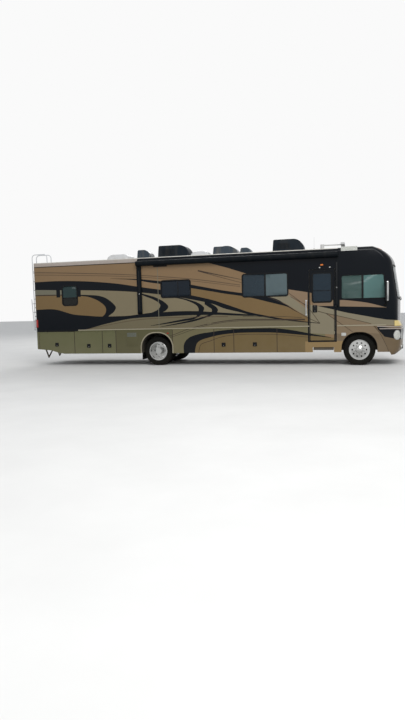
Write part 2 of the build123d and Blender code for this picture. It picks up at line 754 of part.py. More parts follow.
def spring_hangers():
    hangers = []
    for centre, half in ((FRONT_AXLE_X, FRONT_SPRING_HALF), (REAR_AXLE_X, REAR_SPRING_HALF)):
        for x in (centre - half, centre + half):
            for y in (-RAIL_MID_Y, RAIL_MID_Y):
                hangers.append(block(x - HANGER_T / 2, x + HANGER_T / 2, y - SPRING_W / 2, y + SPRING_W / 2,
                                     RAIL_Z - HANGER_DROP, RAIL_Z + 1))
    return hangers


def chassis_frame():
    x0 = REAR_WALL_X + RAIL_REAR_IN
    x1 = front_x(RAIL_FRONT)
    right = rail(x0, x1)
    frame = right + left_of(right)
    for x in cross_spots():
        frame += block(x - CROSS_T / 2, x + CROSS_T / 2, -RAIL_OUT_Y + RAIL_WEB_T, RAIL_OUT_Y - RAIL_WEB_T,
                       RAIL_Z + RAIL_WEB_T, RAIL_Z + RAIL_DEPTH - RAIL_WEB_T)
    for piece in body_posts() + spring_hangers():
        frame += piece
    return frame


def leaf_spring(centre, half, seat_z):
    """A bowed pack of leaves under one rail, from hanger to hanger, resting on the axle's seat."""
    eye_z = RAIL_Z - HANGER_DROP - FACE_GAP
    tip_z = eye_z - SPRING_T * LEAF_END_SHARE
    lines = [
        ThreePointArc((centre - half, tip_z), (centre, seat_z), (centre + half, tip_z)),
        Line((centre + half, tip_z), (centre + half, eye_z)),
        ThreePointArc((centre + half, eye_z), (centre, seat_z + SPRING_T), (centre - half, eye_z)),
        Line((centre - half, eye_z), (centre - half, tip_z)),
    ]
    return push_y(make_face(lines), -RAIL_MID_Y - SPRING_W / 2, -RAIL_MID_Y + SPRING_W / 2)


# Axles
KINGPIN_Y = FRONT_WHEEL_Y - KINGPIN_IN
EYE_R = 38.0
EYE_HALF = 55.0
KINGPIN_R = 18.0
EAR_T = 34.0
EAR_WIDER = 12.0
BEAM_Z = 430.0
BEAM_SHORT = 150.0
BEAM_LAP = 20.0
BEAM_ARM_R = 32.0
SEAT_HALF = 60.0
FRONT_SEAT_Z = 540.0
REAR_SEAT_Z = 570.0
DIFF_R = 200.0
DIFF_LONG = 1.15
DIFF_WIDE = 0.8
SPINDLE_PAST = 60.0
AXLE_TUBE_SHORT = 140.0


def spring_seat(axle_at, side, low, high):
    y = side * RAIL_MID_Y
    return block(axle_at - SEAT_HALF, axle_at + SEAT_HALF, y - SPRING_W / 2, y + SPRING_W / 2, low, high)


def front_axle():
    """A dropped beam with an upright eye at each end, and its two springs."""
    beam_half = KINGPIN_Y - BEAM_SHORT
    low = BEAM_Z - BEAM_T / 2
    beam = block(FRONT_AXLE_X - BEAM_W / 2, FRONT_AXLE_X + BEAM_W / 2, -beam_half, beam_half, low, low + BEAM_T)
    for side in (-1, 1):
        y = side * KINGPIN_Y
        foot = (FRONT_AXLE_X, side * (beam_half - BEAM_LAP), BEAM_Z)
        beam += rod_between(foot, (FRONT_AXLE_X, y, TYRE_R), BEAM_ARM_R)
        beam += rod_z(FRONT_AXLE_X, y, TYRE_R - EYE_HALF, TYRE_R + EYE_HALF, EYE_R)
        beam += spring_seat(FRONT_AXLE_X, side, low, FRONT_SEAT_Z)
    for side in (-1, 1):
        beam -= rod_z(FRONT_AXLE_X, side * KINGPIN_Y, 0, 2 * TYRE_R, KINGPIN_R + PIN_FIT)
    spring = leaf_spring(FRONT_AXLE_X, FRONT_SPRING_HALF, FRONT_SEAT_Z - 1)
    return beam + spring + left_of(spring)


def rear_axle():
    """The housing with its spindles, two springs and the shaft that comes from the gearbox."""
    half = OUTER_DUAL_Y + SPINDLE_PAST
    tube_half = OUTER_DUAL_Y - AXLE_TUBE_SHORT
    tube = rod_y(REAR_AXLE_X, -tube_half, tube_half, TYRE_R, AXLE_TUBE_R)
    tube += rod_y(REAR_AXLE_X, -half, half, TYRE_R, SPINDLE_R)
    tube += Pos(REAR_AXLE_X, 0, TYRE_R) * scale(Sphere(DIFF_R), (DIFF_LONG, DIFF_WIDE, 1.0))
    for side in (-1, 1):
        tube += spring_seat(REAR_AXLE_X, side, TYRE_R, REAR_SEAT_Z)
    spring = leaf_spring(REAR_AXLE_X, REAR_SPRING_HALF, REAR_SEAT_Z - 1)
    return driveshaft(tube + spring + left_of(spring))


# Engine and driveshaft
ENGINE_X0 = -250.0
ENGINE_X1 = 640.0
ENGINE_HALF_Y = 330.0
ENGINE_Z0 = 590.0
ENGINE_UNDER_FLOOR = 20.0
GEARBOX_X0 = -1100.0
GEARBOX_HALF_Y = 170.0
GEARBOX_Z0 = 600.0
GEARBOX_Z1 = 880.0
MOUNT_X0 = 300.0
MOUNT_X1 = 380.0
MOUNT_Z0 = 760.0
MOUNT_Z1 = 820.0
SHAFT_R = 50.0
SHAFT_TIP_GAP = 3.0
SHAFT_DROP = 60.0
YOKE_R = 60.0
YOKE_LEN = 60.0
YOKE_LAP = 30.0
YOKE_UP = 20.0


def engine():
    """The engine and its gearbox as one plain block on two mounts between the rails."""
    mount_y = RAIL_OUT_Y - RAIL_WEB_T - FACE_GAP
    block_part = block(front_x(ENGINE_X0), front_x(ENGINE_X1), -ENGINE_HALF_Y, ENGINE_HALF_Y,
                       ENGINE_Z0, FLOOR_Z - ENGINE_UNDER_FLOOR)
    gearbox = block(front_x(GEARBOX_X0), front_x(ENGINE_X0) + 1, -GEARBOX_HALF_Y, GEARBOX_HALF_Y,
                    GEARBOX_Z0, GEARBOX_Z1)
    mounts = block(front_x(MOUNT_X0), front_x(MOUNT_X1), -mount_y, mount_y, MOUNT_Z0, MOUNT_Z1)
    return block_part + gearbox + mounts


def driveshaft(axle):
    diff_x = REAR_AXLE_X + DIFF_R * DIFF_LONG
    start = (front_x(GEARBOX_X0) - SHAFT_TIP_GAP, 0, (GEARBOX_Z0 + GEARBOX_Z1) / 2 - SHAFT_DROP)
    end = (diff_x + YOKE_LEN, 0, TYRE_R + YOKE_UP)
    shaft = rod_between(start, end, SHAFT_R)
    shaft += rod_between(end, (diff_x - YOKE_LAP, 0, TYRE_R), YOKE_R)
    return shaft + axle


# Exhaust and tanks
PIPE_Y = 290.0
PIPE_Z = 640.0
PIPE_R = 42.0
PIPE_REAR_IN = 120.0
MUFFLER_R = 70.0
MUFFLER_X0 = 1700.0
MUFFLER_X1 = 2900.0
FUEL_X0 = -2700.0
FUEL_X1 = -1250.0
FUEL_Y1 = 210.0
FUEL_CLEAR = 5.0
FUEL_HANGER_X0 = -2330.0
FUEL_HANGER_X1 = -2270.0
FUEL_HANGER_HALF_Y = 100.0
TANK_X0 = 600.0
TANK_X1 = 1880.0
TANK_IN = 30.0
TANK_Z0 = 480.0


def exhaust():
    pipe = rod_x(REAR_WALL_X + PIPE_REAR_IN, front_x(ENGINE_X0) - FACE_GAP, PIPE_Y, PIPE_Z, PIPE_R)
    return pipe + rod_x(span_x(MUFFLER_X0), span_x(MUFFLER_X1), PIPE_Y, PIPE_Z, MUFFLER_R)


def tanks():
    """The fuel tank under the rear overhang, and a holding tank at each side ahead of the rear wheels."""
    fuel = block(rear_x(FUEL_X0), rear_x(FUEL_X1), -RAIL_OUT_Y + RAIL_FLANGE + FUEL_CLEAR, FUEL_Y1,
                 TANK_Z0, RAIL_Z - FUEL_CLEAR)
    fuel += block(rear_x(FUEL_HANGER_X0), rear_x(FUEL_HANGER_X1), -FUEL_HANGER_HALF_Y, FUEL_HANGER_HALF_Y,
                  RAIL_Z - FUEL_CLEAR - 1, RAIL_Z + RAIL_WEB_T - FACE_GAP)
    right = block(span_x(TANK_X0), span_x(TANK_X1), -SKIRT_IN_Y + TANK_IN, -BAY_DEEP_Y,
                  TANK_Z0, FLOOR_Z - FACE_GAP)
    return Compound([fuel, right, left_of(right)])


# Wheels, drawn with the wheel's middle at the origin and its outer face towards -Y
TREAD_IN = 32.0
SHOULDER_DROP = 26.0
SHOULDER_IN = 12.0
SIDE_FOOT_IN = 14.0
SIDE_FOOT_UP = 4.0
BEAD_IN = 22.0
BULGE_UP = 5.0
LIP_IN = 2.0
LIP_T = 10.0
RIM_SEAT_IN = 20.0
HAND_HOLES = 10
HAND_HOLE_R = 26.0
HAND_HOLE_PITCH_R = 205.0
HAND_HOLE_DEEP = 160.0
DISC_T = 12.0
DISC_FLAT_R = 150.0
DISC_SLOPE_R = 250.0
DISC_SKEW = 5.0
FRONT_DISC_Y = -70.0
FRONT_DISC_BULGE = -20.0
FRONT_HUB_OUT = 60.0
FRONT_HUB_IN = 33.0
FRONT_CAP_T = 20.0
FRONT_BORE_END = 60.0
DRUM_R = 190.0
DRUM_T = 30.0
REAR_HUB_OUT = 78.0
REAR_DISC_BACK = 14.0
REAR_DRUM_R = 200.0
REAR_DRUM_PAST = 40.0
REAR_BORE_PAST = 60.0
REAR_HUB_LAP = 10.0
SLEEVE_LAP = 10.0
TUBE_ROOM = 5.0


def tyre_ring(y):
    half = TYRE_W / 2
    shoulder_r = TYRE_R - SHOULDER_DROP
    foot_r = FLANGE_R + SIDE_FOOT_UP
    bulge_r = (BEAD_R + TYRE_R) / 2 + BULGE_UP
    lines = [
        Line((BEAD_R, -half + BEAD_IN), (BEAD_R, half - BEAD_IN)),
        Line((BEAD_R, half - BEAD_IN), (foot_r, half - SIDE_FOOT_IN)),
        ThreePointArc((foot_r, half - SIDE_FOOT_IN), (bulge_r, half), (shoulder_r, half - SHOULDER_IN)),
        Line((shoulder_r, half - SHOULDER_IN), (TYRE_R, half - TREAD_IN)),
        Line((TYRE_R, half - TREAD_IN), (TYRE_R, -half + TREAD_IN)),
        Line((TYRE_R, -half + TREAD_IN), (shoulder_r, -half + SHOULDER_IN)),
        ThreePointArc((shoulder_r, -half + SHOULDER_IN), (bulge_r, -half), (foot_r, -half + SIDE_FOOT_IN)),
        Line((foot_r, -half + SIDE_FOOT_IN), (BEAD_R, -half + BEAD_IN)),
    ]
    return Pos(0, y, 0) * revolve(make_face(lines), Axis.Y)


def rim_ring(y):
    """Barrel with a lip at each edge."""
    lip = TYRE_W / 2 - LIP_IN
    seat = TYRE_W / 2 - RIM_SEAT_IN
    points = [
        (BEAD_R - RIM_T, -lip),
        (FLANGE_R, -lip),
        (FLANGE_R, -lip + LIP_T),
        (BEAD_R - FACE_GAP, -seat),
        (BEAD_R - FACE_GAP, seat),
        (FLANGE_R, lip - LIP_T),
        (FLANGE_R, lip),
        (BEAD_R - RIM_T, lip),
    ]
    return Pos(0, y, 0) * revolve(make_face(Polyline(*points, close=True)), Axis.Y)


def wheel_disc(face_y, bulge):
    """The dished disc between hub and barrel, with its ring of hand holes."""
    points = [
        (SPINDLE_R + PIN_FIT, face_y + bulge),
        (DISC_FLAT_R, face_y + bulge),
        (DISC_SLOPE_R, face_y),
        (BEAD_R - RIM_T + 1, face_y),
        (BEAD_R - RIM_T + 1, face_y + DISC_T),
        (DISC_SLOPE_R + DISC_SKEW, face_y + DISC_T),
        (DISC_FLAT_R + DISC_SKEW, face_y + bulge + DISC_T),
        (SPINDLE_R + PIN_FIT, face_y + bulge + DISC_T),
    ]
    disc = revolve(make_face(Polyline(*points, close=True)), Axis.Y)
    for hole in PolarLocations(HAND_HOLE_PITCH_R, HAND_HOLES):
        x, y = hole.position.X, hole.position.Y
        disc -= Pos(x, face_y, y) * Rot(90, 0, 0) * Cylinder(HAND_HOLE_R, HAND_HOLE_DEEP)
    return disc


def at_wheel(part, axle_at, side, wheel_y):
    """Puts a wheel piece, drawn for the right side, at its place on either side."""
    piece = part if side < 0 else left_of(part)
    return Pos(axle_at, side * wheel_y, TYRE_R) * piece


def front_rim():
    rim = rim_ring(0) + wheel_disc(FRONT_DISC_Y, FRONT_DISC_BULGE)
    rim += rod_y(0, FRONT_DISC_Y - FRONT_HUB_OUT, FRONT_HUB_IN, 0, HUB_R)
    rim += rod_y(0, 0, DRUM_T, 0, DRUM_R)
    return rim - rod_y(0, FRONT_DISC_Y - FRONT_HUB_OUT + FRONT_CAP_T, FRONT_BORE_END, 0, SPINDLE_R + PIN_FIT)


def rear_rims():
    """Two rings on one hub, joined by a sleeve, with the disc deep inside the outer one."""
    half = TYRE_W / 2
    rim = rim_ring(0) + rim_ring(DUAL_SPACING)
    rim += wheel_disc(DUAL_SPACING / 2 - REAR_DISC_BACK, 0.0)
    sleeve_r = BEAD_R - RIM_T + 4
    sleeve = rod_y(0, half - SLEEVE_LAP, DUAL_SPACING - half + SLEEVE_LAP, 0, sleeve_r)
    rim += sleeve - rod_y(0, 0, DUAL_SPACING, 0, BEAD_R - 2 * RIM_T)
    rim += rod_y(0, -REAR_HUB_OUT, DUAL_SPACING / 2 + REAR_HUB_LAP, 0, HUB_R)
    rim += rod_y(0, DUAL_SPACING / 2, DUAL_SPACING + REAR_DRUM_PAST, 0, REAR_DRUM_R)
    bore_end = DUAL_SPACING + REAR_BORE_PAST
    rim -= rod_y(0, -SPINDLE_PAST - FACE_GAP, bore_end, 0, SPINDLE_R + PIN_FIT)
    return rim - rod_y(0, AXLE_TUBE_SHORT - REAR_HUB_LAP, bore_end, 0, AXLE_TUBE_R + TUBE_ROOM)


def rear_tyres():
    return Compound([tyre_ring(0), tyre_ring(DUAL_SPACING)])


def knuckle():
    """The fork that turns on the kingpin, with the spindle that carries the hub, at the right side."""
    top = EYE_HALF + FACE_GAP
    fork = rod_z(0, 0, -top - EAR_T, top + EAR_T, KINGPIN_R)
    for low in (-top - EAR_T, top):
        fork += rod_z(0, 0, low, low + EAR_T, EYE_R + EAR_WIDER)
        fork += block(-EYE_R, EYE_R, -EYE_R - 2 * EAR_WIDER, 0, low, low + EAR_T)
    fork += block(-EYE_R, EYE_R, -EYE_R - 2 * EAR_WIDER - 2, -EYE_R - EAR_WIDER / 2, -top - EAR_T, top + EAR_T)
    fork -= rod_z(0, 0, -top, top, EYE_R + 3)
    fork += rod_z(0, 0, -top - EAR_T, top + EAR_T, KINGPIN_R)
    spindle_end = -KINGPIN_IN + FRONT_DISC_Y - FRONT_HUB_OUT + FRONT_CAP_T + FACE_GAP
    fork += rod_y(0, spindle_end, -EYE_R - 2 * EAR_WIDER + 4, 0, SPINDLE_R)
    return fork


def knuckle_right():
    return Pos(FRONT_AXLE_X, -KINGPIN_Y, TYRE_R) * knuckle()


def knuckle_left():
    return Pos(FRONT_AXLE_X, KINGPIN_Y, TYRE_R) * left_of(knuckle())


# Entry door
def entry_door():
    x1 = front_x(DOOR_X1)
    door = door_block(0, -HALF_WIDTH, -HALF_WIDTH + DOOR_T)
    door -= door_window_cut(-HALF_WIDTH - 1, -HALF_WIDTH + DOOR_T + 1)
    x = x1 + DOOR_GAP
    y = -HALF_WIDTH - HINGE_OUT
    for z in DOOR_HINGES_Z:
        low = z - SLEEVE_LEN / 2
        high = z + SLEEVE_LEN / 2
        hinge = rod_z(x, y, low, high, SLEEVE_R)
        hinge += block(x1 - HINGE_LEAF, x, y - 1, -HALF_WIDTH - FACE_GAP, low, high)
        hinge += block(x1 - HINGE_LEAF, x1 - 2, y - 1, -HALF_WIDTH + 2, low, high)
        hinge -= rod_z(x, y, low - 1, high + 1, HINGE_PIN_R + PIN_FIT)
        door += hinge
    return door


def entry_glass():
    y0 = -HALF_WIDTH + GLASS_IN
    return door_window_cut(y0, y0 + GLASS_T, FACE_GAP)


# Glass and frames
def side_glass():
    y0 = -HALF_WIDTH + GLASS_IN
    right = [window_cut(row, y0, y0 + GLASS_T, FACE_GAP) for row in SIDE_WINDOWS]
    cab = cab_window_cutter(FACE_GAP, y0, y0 + GLASS_T)
    left = [left_of(window_cut(LEFT_WINDOW, y0, y0 + GLASS_T, FACE_GAP)), left_of(cab)]
    return Compound(right + [cab] + left)


def frame_ring(row):
    x0, x1, z0, z1, corner = row
    outer = window_shape(span_x(x0), span_x(x1), z0, z1, corner, FRAME_RING_W)
    inner = window_shape(span_x(x0), span_x(x1), z0, z1, corner, -FRAME_LAP)
    return push_y(outer - inner, -HALF_WIDTH - FRAME_RING_T, -HALF_WIDTH)


def window_frames():
    right = [frame_ring(row) for row in SIDE_WINDOWS]
    return Compound(right + [left_of(frame_ring(LEFT_WINDOW))])


# Slide-out room
def slide_room():
    inner_y = HALF_WIDTH - SLIDE_DEPTH
    room = slide_block(0, inner_y, HALF_WIDTH)
    room -= slide_block(-SLIDE_WALL_T, inner_y - 1, INNER_Y)
    room += slide_block(SLIDE_FLANGE, HALF_WIDTH + SLIDE_GAP, HALF_WIDTH + SLIDE_GAP + SLIDE_FLANGE_T)
    room += slide_block(0, HALF_WIDTH - 1, HALF_WIDTH + SLIDE_GAP + 1)
    for row in SLIDE_WINDOWS:
        room -= window_cut(row, INNER_Y - 1, HALF_WIDTH + SLIDE_GAP + SLIDE_FLANGE_T + 1)
    return room


def slide_glass():
    y1 = HALF_WIDTH + SLIDE_GAP + SLIDE_FLANGE_T - GLASS_IN
    return Compound([window_cut(row, y1 - GLASS_T, y1, FACE_GAP) for row in SLIDE_WINDOWS])


# Trim
MOULD_H = 30.0
MOULD_T = 12.0
MOULD_FRONT_X0 = -640.0
MOULD_FRONT_X1 = 764.0
ARCH_RIM_W = 34.0
ROOF_LIGHT_X0 = -524.0
ROOF_LIGHT_X1 = -52.0
ROOF_LIGHT_UP = 20.0
ROOF_LIGHT_H = 125.0


def mouldings():
    """Belt mouldings, the raised rims of the rear arches, and the light bar on the roof edge over the cab."""
    y0 = -HALF_WIDTH - MOULD_T
    strip = block(REAR_CAP_X, front_x(DOOR_X0) - DOOR_GAP, y0, -HALF_WIDTH, BELT_Z, BELT_Z + MOULD_H)
    ahead = block(front_x(MOULD_FRONT_X0), front_x(MOULD_FRONT_X1), y0, -HALF_WIDTH, BELT_Z, BELT_Z + MOULD_H)
    rim = arch_cut(REAR_AXLE_X, REAR_ARCH_R + ARCH_RIM_W, REAR_ARCH_TOP + ARCH_RIM_W, y0, -HALF_WIDTH)
    rim -= arch_cut(REAR_AXLE_X, REAR_ARCH_R + 1, REAR_ARCH_TOP + 1, y0 - 1, -HALF_WIDTH + 1)
    rim = rim & block(REAR_WALL_X, FRONT_AXLE_X, y0, -HALF_WIDTH, SKIRT_BOTTOM_Z, BELT_Z)
    right = [strip, ahead, rim]
    light = block(front_x(ROOF_LIGHT_X0), front_x(ROOF_LIGHT_X1), -HALF_WIDTH, -HALF_WIDTH + ROOF_EDGE_IN,
                  ROOF_SEAM_Z + ROOF_LIGHT_UP, ROOF_SEAM_Z + ROOF_LIGHT_UP + ROOF_LIGHT_H) - cap_form(0, 0)
    return Compound(right + [left_of(piece) for piece in right] + light.solids())


AWNING_REAR_X0 = -610.0
AWNING_X1 = -600.0
AWNING_R = 85.0
AWNING_Z = 3330.0
AWNING_OUT = 100.0
ARM_T = 45.0
REAR_ARM_W = 150.0
FRONT_ARM_W = 55.0
AWNING_END = 20.0
HEAD_W = 60.0
HEAD_OUT = 50.0
HEAD_UP = 60.0
REAR_ARM_Z0 = 1705.0
FRONT_ARM_Z0 = 1768.0


def awning():
    """The rolled awning on its two folded arms along the right side."""
    y = -HALF_WIDTH - AWNING_OUT
    x0 = rear_x(AWNING_REAR_X0)
    x1 = front_x(AWNING_X1)
    roll = rod_x(x0 + AWNING_END, x1 - AWNING_END, y, AWNING_Z, AWNING_R)
    top = AWNING_Z + HEAD_UP
    arms = block(x0, x0 + REAR_ARM_W, -HALF_WIDTH - ARM_T, -HALF_WIDTH, REAR_ARM_Z0, top)
    arms += block(x0, x0 + HEAD_W, y - HEAD_OUT, -HALF_WIDTH, AWNING_Z - HEAD_OUT, top)
    arms += block(x1 - FRONT_ARM_W, x1, -HALF_WIDTH - ARM_T, -HALF_WIDTH, FRONT_ARM_Z0, top)
    arms += block(x1 - FRONT_ARM_W, x1, y - HEAD_OUT, -HALF_WIDTH, AWNING_Z - HEAD_OUT, top)
    return roll + arms


# Roof pieces, measured from the rear axle
AIR_UNITS = (
    # x0, x1, y0, y1, top z
    (-209.0, 888.0, -340.0, 340.0, 3986.0),
    (3702.0, 4697.0, -340.0, 340.0, 3978.0),
)
VENTS = (
    # x0, x1, y0, y1, top z
    (-1000.0, -490.0, -250.0, 250.0, 3890.0),
    (1700.0, 2570.0, -280.0, 280.0, 3862.0),
    (2600.0, 2990.0, -200.0, 200.0, 3790.0),
)
DOMES = (
    # x0, x1, y0, y1, top z
    (-2075.0, -1255.0, -420.0, 420.0, 3772.0),
    (910.0, 1570.0, -310.0, 310.0, 3755.0),
)
COVER_CORNER = 60.0
AIR_LEAN = 24.0
AIR_SIDE_IN = 70.0
AIR_FALL_SHARE = 0.34
VENT_LEAN = 30.0
VENT_SIDE_IN = 40.0
VENT_FALL_SHARE = 0.6
COVER_NOSE_UP = 110.0
COVER_PAST = 10.0
DOME_SIDE_IN = 130.0
DOME_SHOULDER_IN = 30.0
DOME_SHOULDER_SHARE = 0.62
QUARTER_BEND = 0.2929


def roof_form():
    return body_bar(0, 0, ROOF_SEAM_Z - 100, REAR_WALL_X, front_x(0))


def seated(piece):
    """Trims a piece that reaches down into the roof, so that it sits on the roof's crown."""
    return piece - roof_form()


def roof_slab(x0, x1, y0, y1, z, inset_x, inset_y, corner):
    shape = RectangleRounded(x1 - x0 - 2 * inset_x, y1 - y0 - 2 * inset_y, corner)
    return Pos((x0 + x1) / 2, (y0 + y1) / 2, z) * shape


def cover_side(x0, x1, top, lean, fall):
    """A cover's outline from the side: an upright back, a flat top, and a front that falls in an arc."""
    low = ROOF_EDGE_Z - COVER_PAST
    nose = ROOF_EDGE_Z + COVER_NOSE_UP
    mid = (x1 - fall * QUARTER_BEND, top - (top - nose) * QUARTER_BEND)
    lines = [
        Line((x0 - COVER_PAST, low), (x0 + lean, top - lean)),
        Line((x0 + lean, top - lean), (x0 + 2 * lean, top)),
        Line((x0 + 2 * lean, top), (x1 - fall, top)),
        ThreePointArc((x1 - fall, top), mid, (x1, nose)),
        Line((x1, nose), (x1 + COVER_PAST, low)),
        Line((x1 + COVER_PAST, low), (x0 - COVER_PAST, low)),
    ]
    return make_face(lines)


def cover(row, lean, side_in, fall_share):
    """An air conditioner's or vent's cover: its side outline, with round corners and sides that lean in."""
    x0, x1, y0, y1, top = row
    xa = span_x(x0)
    xb = span_x(x1)
    base = roof_slab(xa, xb, y0, y1, ROOF_EDGE_Z, 0, 0, COVER_CORNER)
    lid = roof_slab(xa, xb, y0, y1, top + COVER_PAST, 0, side_in, COVER_CORNER)
    side = push_y(cover_side(xa, xb, top, lean, (xb - xa) * fall_share), y0 - COVER_PAST, y1 + COVER_PAST)
    return seated(loft([base, lid]) & side)


def dome(row):
    x0, x1, y0, y1, top = row
    xa = span_x(x0)
    xb = span_x(x1)
    shoulder = ROOF_EDGE_Z + (top - ROOF_EDGE_Z) * DOME_SHOULDER_SHARE
    sections = [
        roof_slab(xa, xb, y0, y1, ROOF_EDGE_Z, 0, 0, 2 * COVER_CORNER),
        roof_slab(xa, xb, y0, y1, shoulder, DOME_SHOULDER_IN, DOME_SHOULDER_IN, 2 * COVER_CORNER),
        roof_slab(xa, xb, y0, y1, top, DOME_SIDE_IN, DOME_SIDE_IN, 2 * COVER_CORNER),
    ]
    return seated(loft(sections))


def roof_air_units():
    return Compound([cover(row, AIR_LEAN, AIR_SIDE_IN, AIR_FALL_SHARE) for row in AIR_UNITS])


def roof_vents():
    return Compound([cover(row, VENT_LEAN, VENT_SIDE_IN, VENT_FALL_SHARE) for row in VENTS])


def roof_domes():
    return Compound([dome(row) for row in DOMES] + antennas())


WHIP_X = 5041.0
WHIP_Y = -500.0
WHIP_TOP = 3966.0
WHIP_R = 4.0
WHIP_FOOT_R = 25.0
WHIP_FOOT_UP = 90.0
TV_X0 = 5129.0
TV_X1 = 5960.0
TV_TOP = 3800.0
TV_Y = 250.0
TV_HALF_Y = 400.0
TV_FOOT_R = 60.0
TV_BOOM_R = 22.0
TV_HEAD_X = 120.0
TV_HEAD_H = 60.0


def antennas():
    """A whip antenna, and a television antenna folded down with its boom and wide head."""
    foot = rod_z(span_x(WHIP_X), WHIP_Y, ROOF_EDGE_Z, ROOF_EDGE_Z + WHIP_FOOT_UP, WHIP_FOOT_R)
    whip = seated(foot + rod_z(span_x(WHIP_X), WHIP_Y, ROOF_EDGE_Z, WHIP_TOP, WHIP_R))
    x0 = span_x(TV_X0)
    x1 = span_x(TV_X1)
    boom_z = TV_TOP - TV_HEAD_H / 2
    mast = rod_z(x0 + 2 * TV_FOOT_R, TV_Y, ROOF_EDGE_Z, TV_TOP, TV_FOOT_R)
    mast += rod_x(x0 + 2 * TV_FOOT_R, x1 - TV_HEAD_X / 2, TV_Y, boom_z, TV_BOOM_R)
    mast += block(x1 - TV_HEAD_X, x1, TV_Y - TV_HALF_Y, TV_Y + TV_HALF_Y, TV_TOP - TV_HEAD_H, TV_TOP)
    return [whip, seated(mast)]


# Ladder at the right rear corner
LADDER_Y0 = -HALF_WIDTH + 160.0
LADDER_Y1 = -HALF_WIDTH + 440.0
TUBE_R = 14.0
LADDER_OFF = 85.0
LADDER_Z0 = 1350.0
HOOP_UP = 280.0
HOOP_RUN = 570.0
FOLD_Z = 1250.0
FOLD_LEN = 1050.0
FOLD_OFF = 126.0
RUNG_PITCH = 300.0
LUG_T = 12.0
LADDER_PIN_R = 6.0
FOLD_EYE = 15.0
HOOP_BEND = 120.0
HOOP_DROP = 60.0
LADDER_FEET_Z = (1370.0, 2300.0, 3250.0)
FOOT_SHARE = 0.8
RUNG_SHARE = 0.9
FIRST_RUNG_UP = 60.0
FOOT_DOWN = 40.0
LUG_HALF = 10.0


def ladder_upper():
    """The fixed ladder: two rails that bend over the roof edge, rungs, and feet on the rear wall."""
    x = REAR_WALL_X - LADDER_OFF
    top = ROOF_CROWN_Z + HOOP_UP - HOOP_DROP
    ladder = None
    for y in (LADDER_Y0, LADDER_Y1):
        start = Plane((x, y, FOLD_Z - FOOT_DOWN), z_dir=(0, 0, 1))
        rail_part = sweep(start * Circle(TUBE_R), hoop_path(x, y, top))
        ladder = rail_part if ladder is None else ladder + rail_part
        for z in LADDER_FEET_Z:
            ladder += rod_x(x, REAR_WALL_X, y, z, TUBE_R * FOOT_SHARE)
    z = LADDER_Z0 + FIRST_RUNG_UP
    while z < ROOF_SEAM_Z + FIRST_RUNG_UP:
        ladder += rod_y(x, LADDER_Y0, LADDER_Y1, z, TUBE_R * RUNG_SHARE)
        z += RUNG_PITCH
    lug_in = TUBE_R + FACE_GAP
    pin_x = REAR_WALL_X - FOLD_OFF
    for y in (LADDER_Y0, LADDER_Y1):
        for low in (y - lug_in - LUG_T, y + lug_in):
            ladder += block(pin_x - LUG_HALF, x + 5, low, low + LUG_T, FOLD_Z - LUG_HALF, FOLD_Z + LUG_HALF)
        ladder += block(x - 8, x + 5, y - lug_in - LUG_T, y + lug_in + LUG_T,
                        FOLD_Z - LUG_HALF, FOLD_Z + LUG_HALF)
        ladder += rod_y(pin_x, y - lug_in - LUG_T, y + lug_in + LUG_T, FOLD_Z, LADDER_PIN_R)
    return ladder - roof_form()


def hoop_path(x, y, top):
    """The line of one ladder rail: up the rear wall, over the roof edge and down to the roof."""
    back = x + HOOP_BEND
    front = x + HOOP_RUN
    short = HOOP_BEND * QUARTER_BEND
    return Wire([
        Line((x, y, FOLD_Z - FOOT_DOWN), (x, y, top - HOOP_BEND)),
        ThreePointArc((x, y, top - HOOP_BEND), (x + short, y, top - short), (back, y, top)),
        Line((back, y, top), (front - HOOP_BEND, y, top)),
        ThreePointArc((front - HOOP_BEND, y, top), (front - short, y, top - short),
                      (front, y, top - HOOP_BEND)),
        Line((front, y, top - HOOP_BEND), (front, y, ROOF_EDGE_Z)),
    ])


def ladder_lower():
    """The lower ladder section, folded up and leaning out from its pivot."""
    x = REAR_WALL_X - FOLD_OFF
    reach = LADDER_REACH - FOLD_OFF - TUBE_R
    ladder = None
    for y in (LADDER_Y0, LADDER_Y1):
        rail_part = rod_between((x, y, FOLD_Z + FOLD_EYE), (x - reach, y, FOLD_Z + FOLD_LEN), TUBE_R)
        rail_part += block(x - FOLD_EYE, x + FOLD_EYE - 3, y - TUBE_R, y + TUBE_R,
                           FOLD_Z - FOLD_EYE, FOLD_Z + 2 * FOLD_EYE)
        ladder = rail_part if ladder is None else ladder + rail_part
    steps = int(FOLD_LEN // RUNG_PITCH)
    for step in range(1, steps + 1):
        share = step * RUNG_PITCH / FOLD_LEN
        ladder += rod_y(x - reach * share, LADDER_Y0, LADDER_Y1, FOLD_Z + step * RUNG_PITCH,
                        TUBE_R * RUNG_SHARE)
    return ladder - rod_y(x, LADDER_Y0 - FOOT_DOWN, LADDER_Y1 + FOOT_DOWN, FOLD_Z, LADDER_PIN_R + PIN_FIT)


# Mirrors
MIRROR_X = 770.0
MIRROR_T = 110.0
MIRROR_Y0 = HALF_WIDTH + 25.0
MIRROR_Y1 = HALF_WIDTH + 255.0
MIRROR_Z0 = 1906.0
MIRROR_Z1 = 2493.0
MIRROR_ARM_Z = 1789.0
MIRROR_CORNER = 35.0
MIRROR_ARM_R = 16.0
MIRROR_ARM_BACK = 60.0
MIRROR_ARM_IN = 20.0
MIRROR_ARM_LAP = 40.0


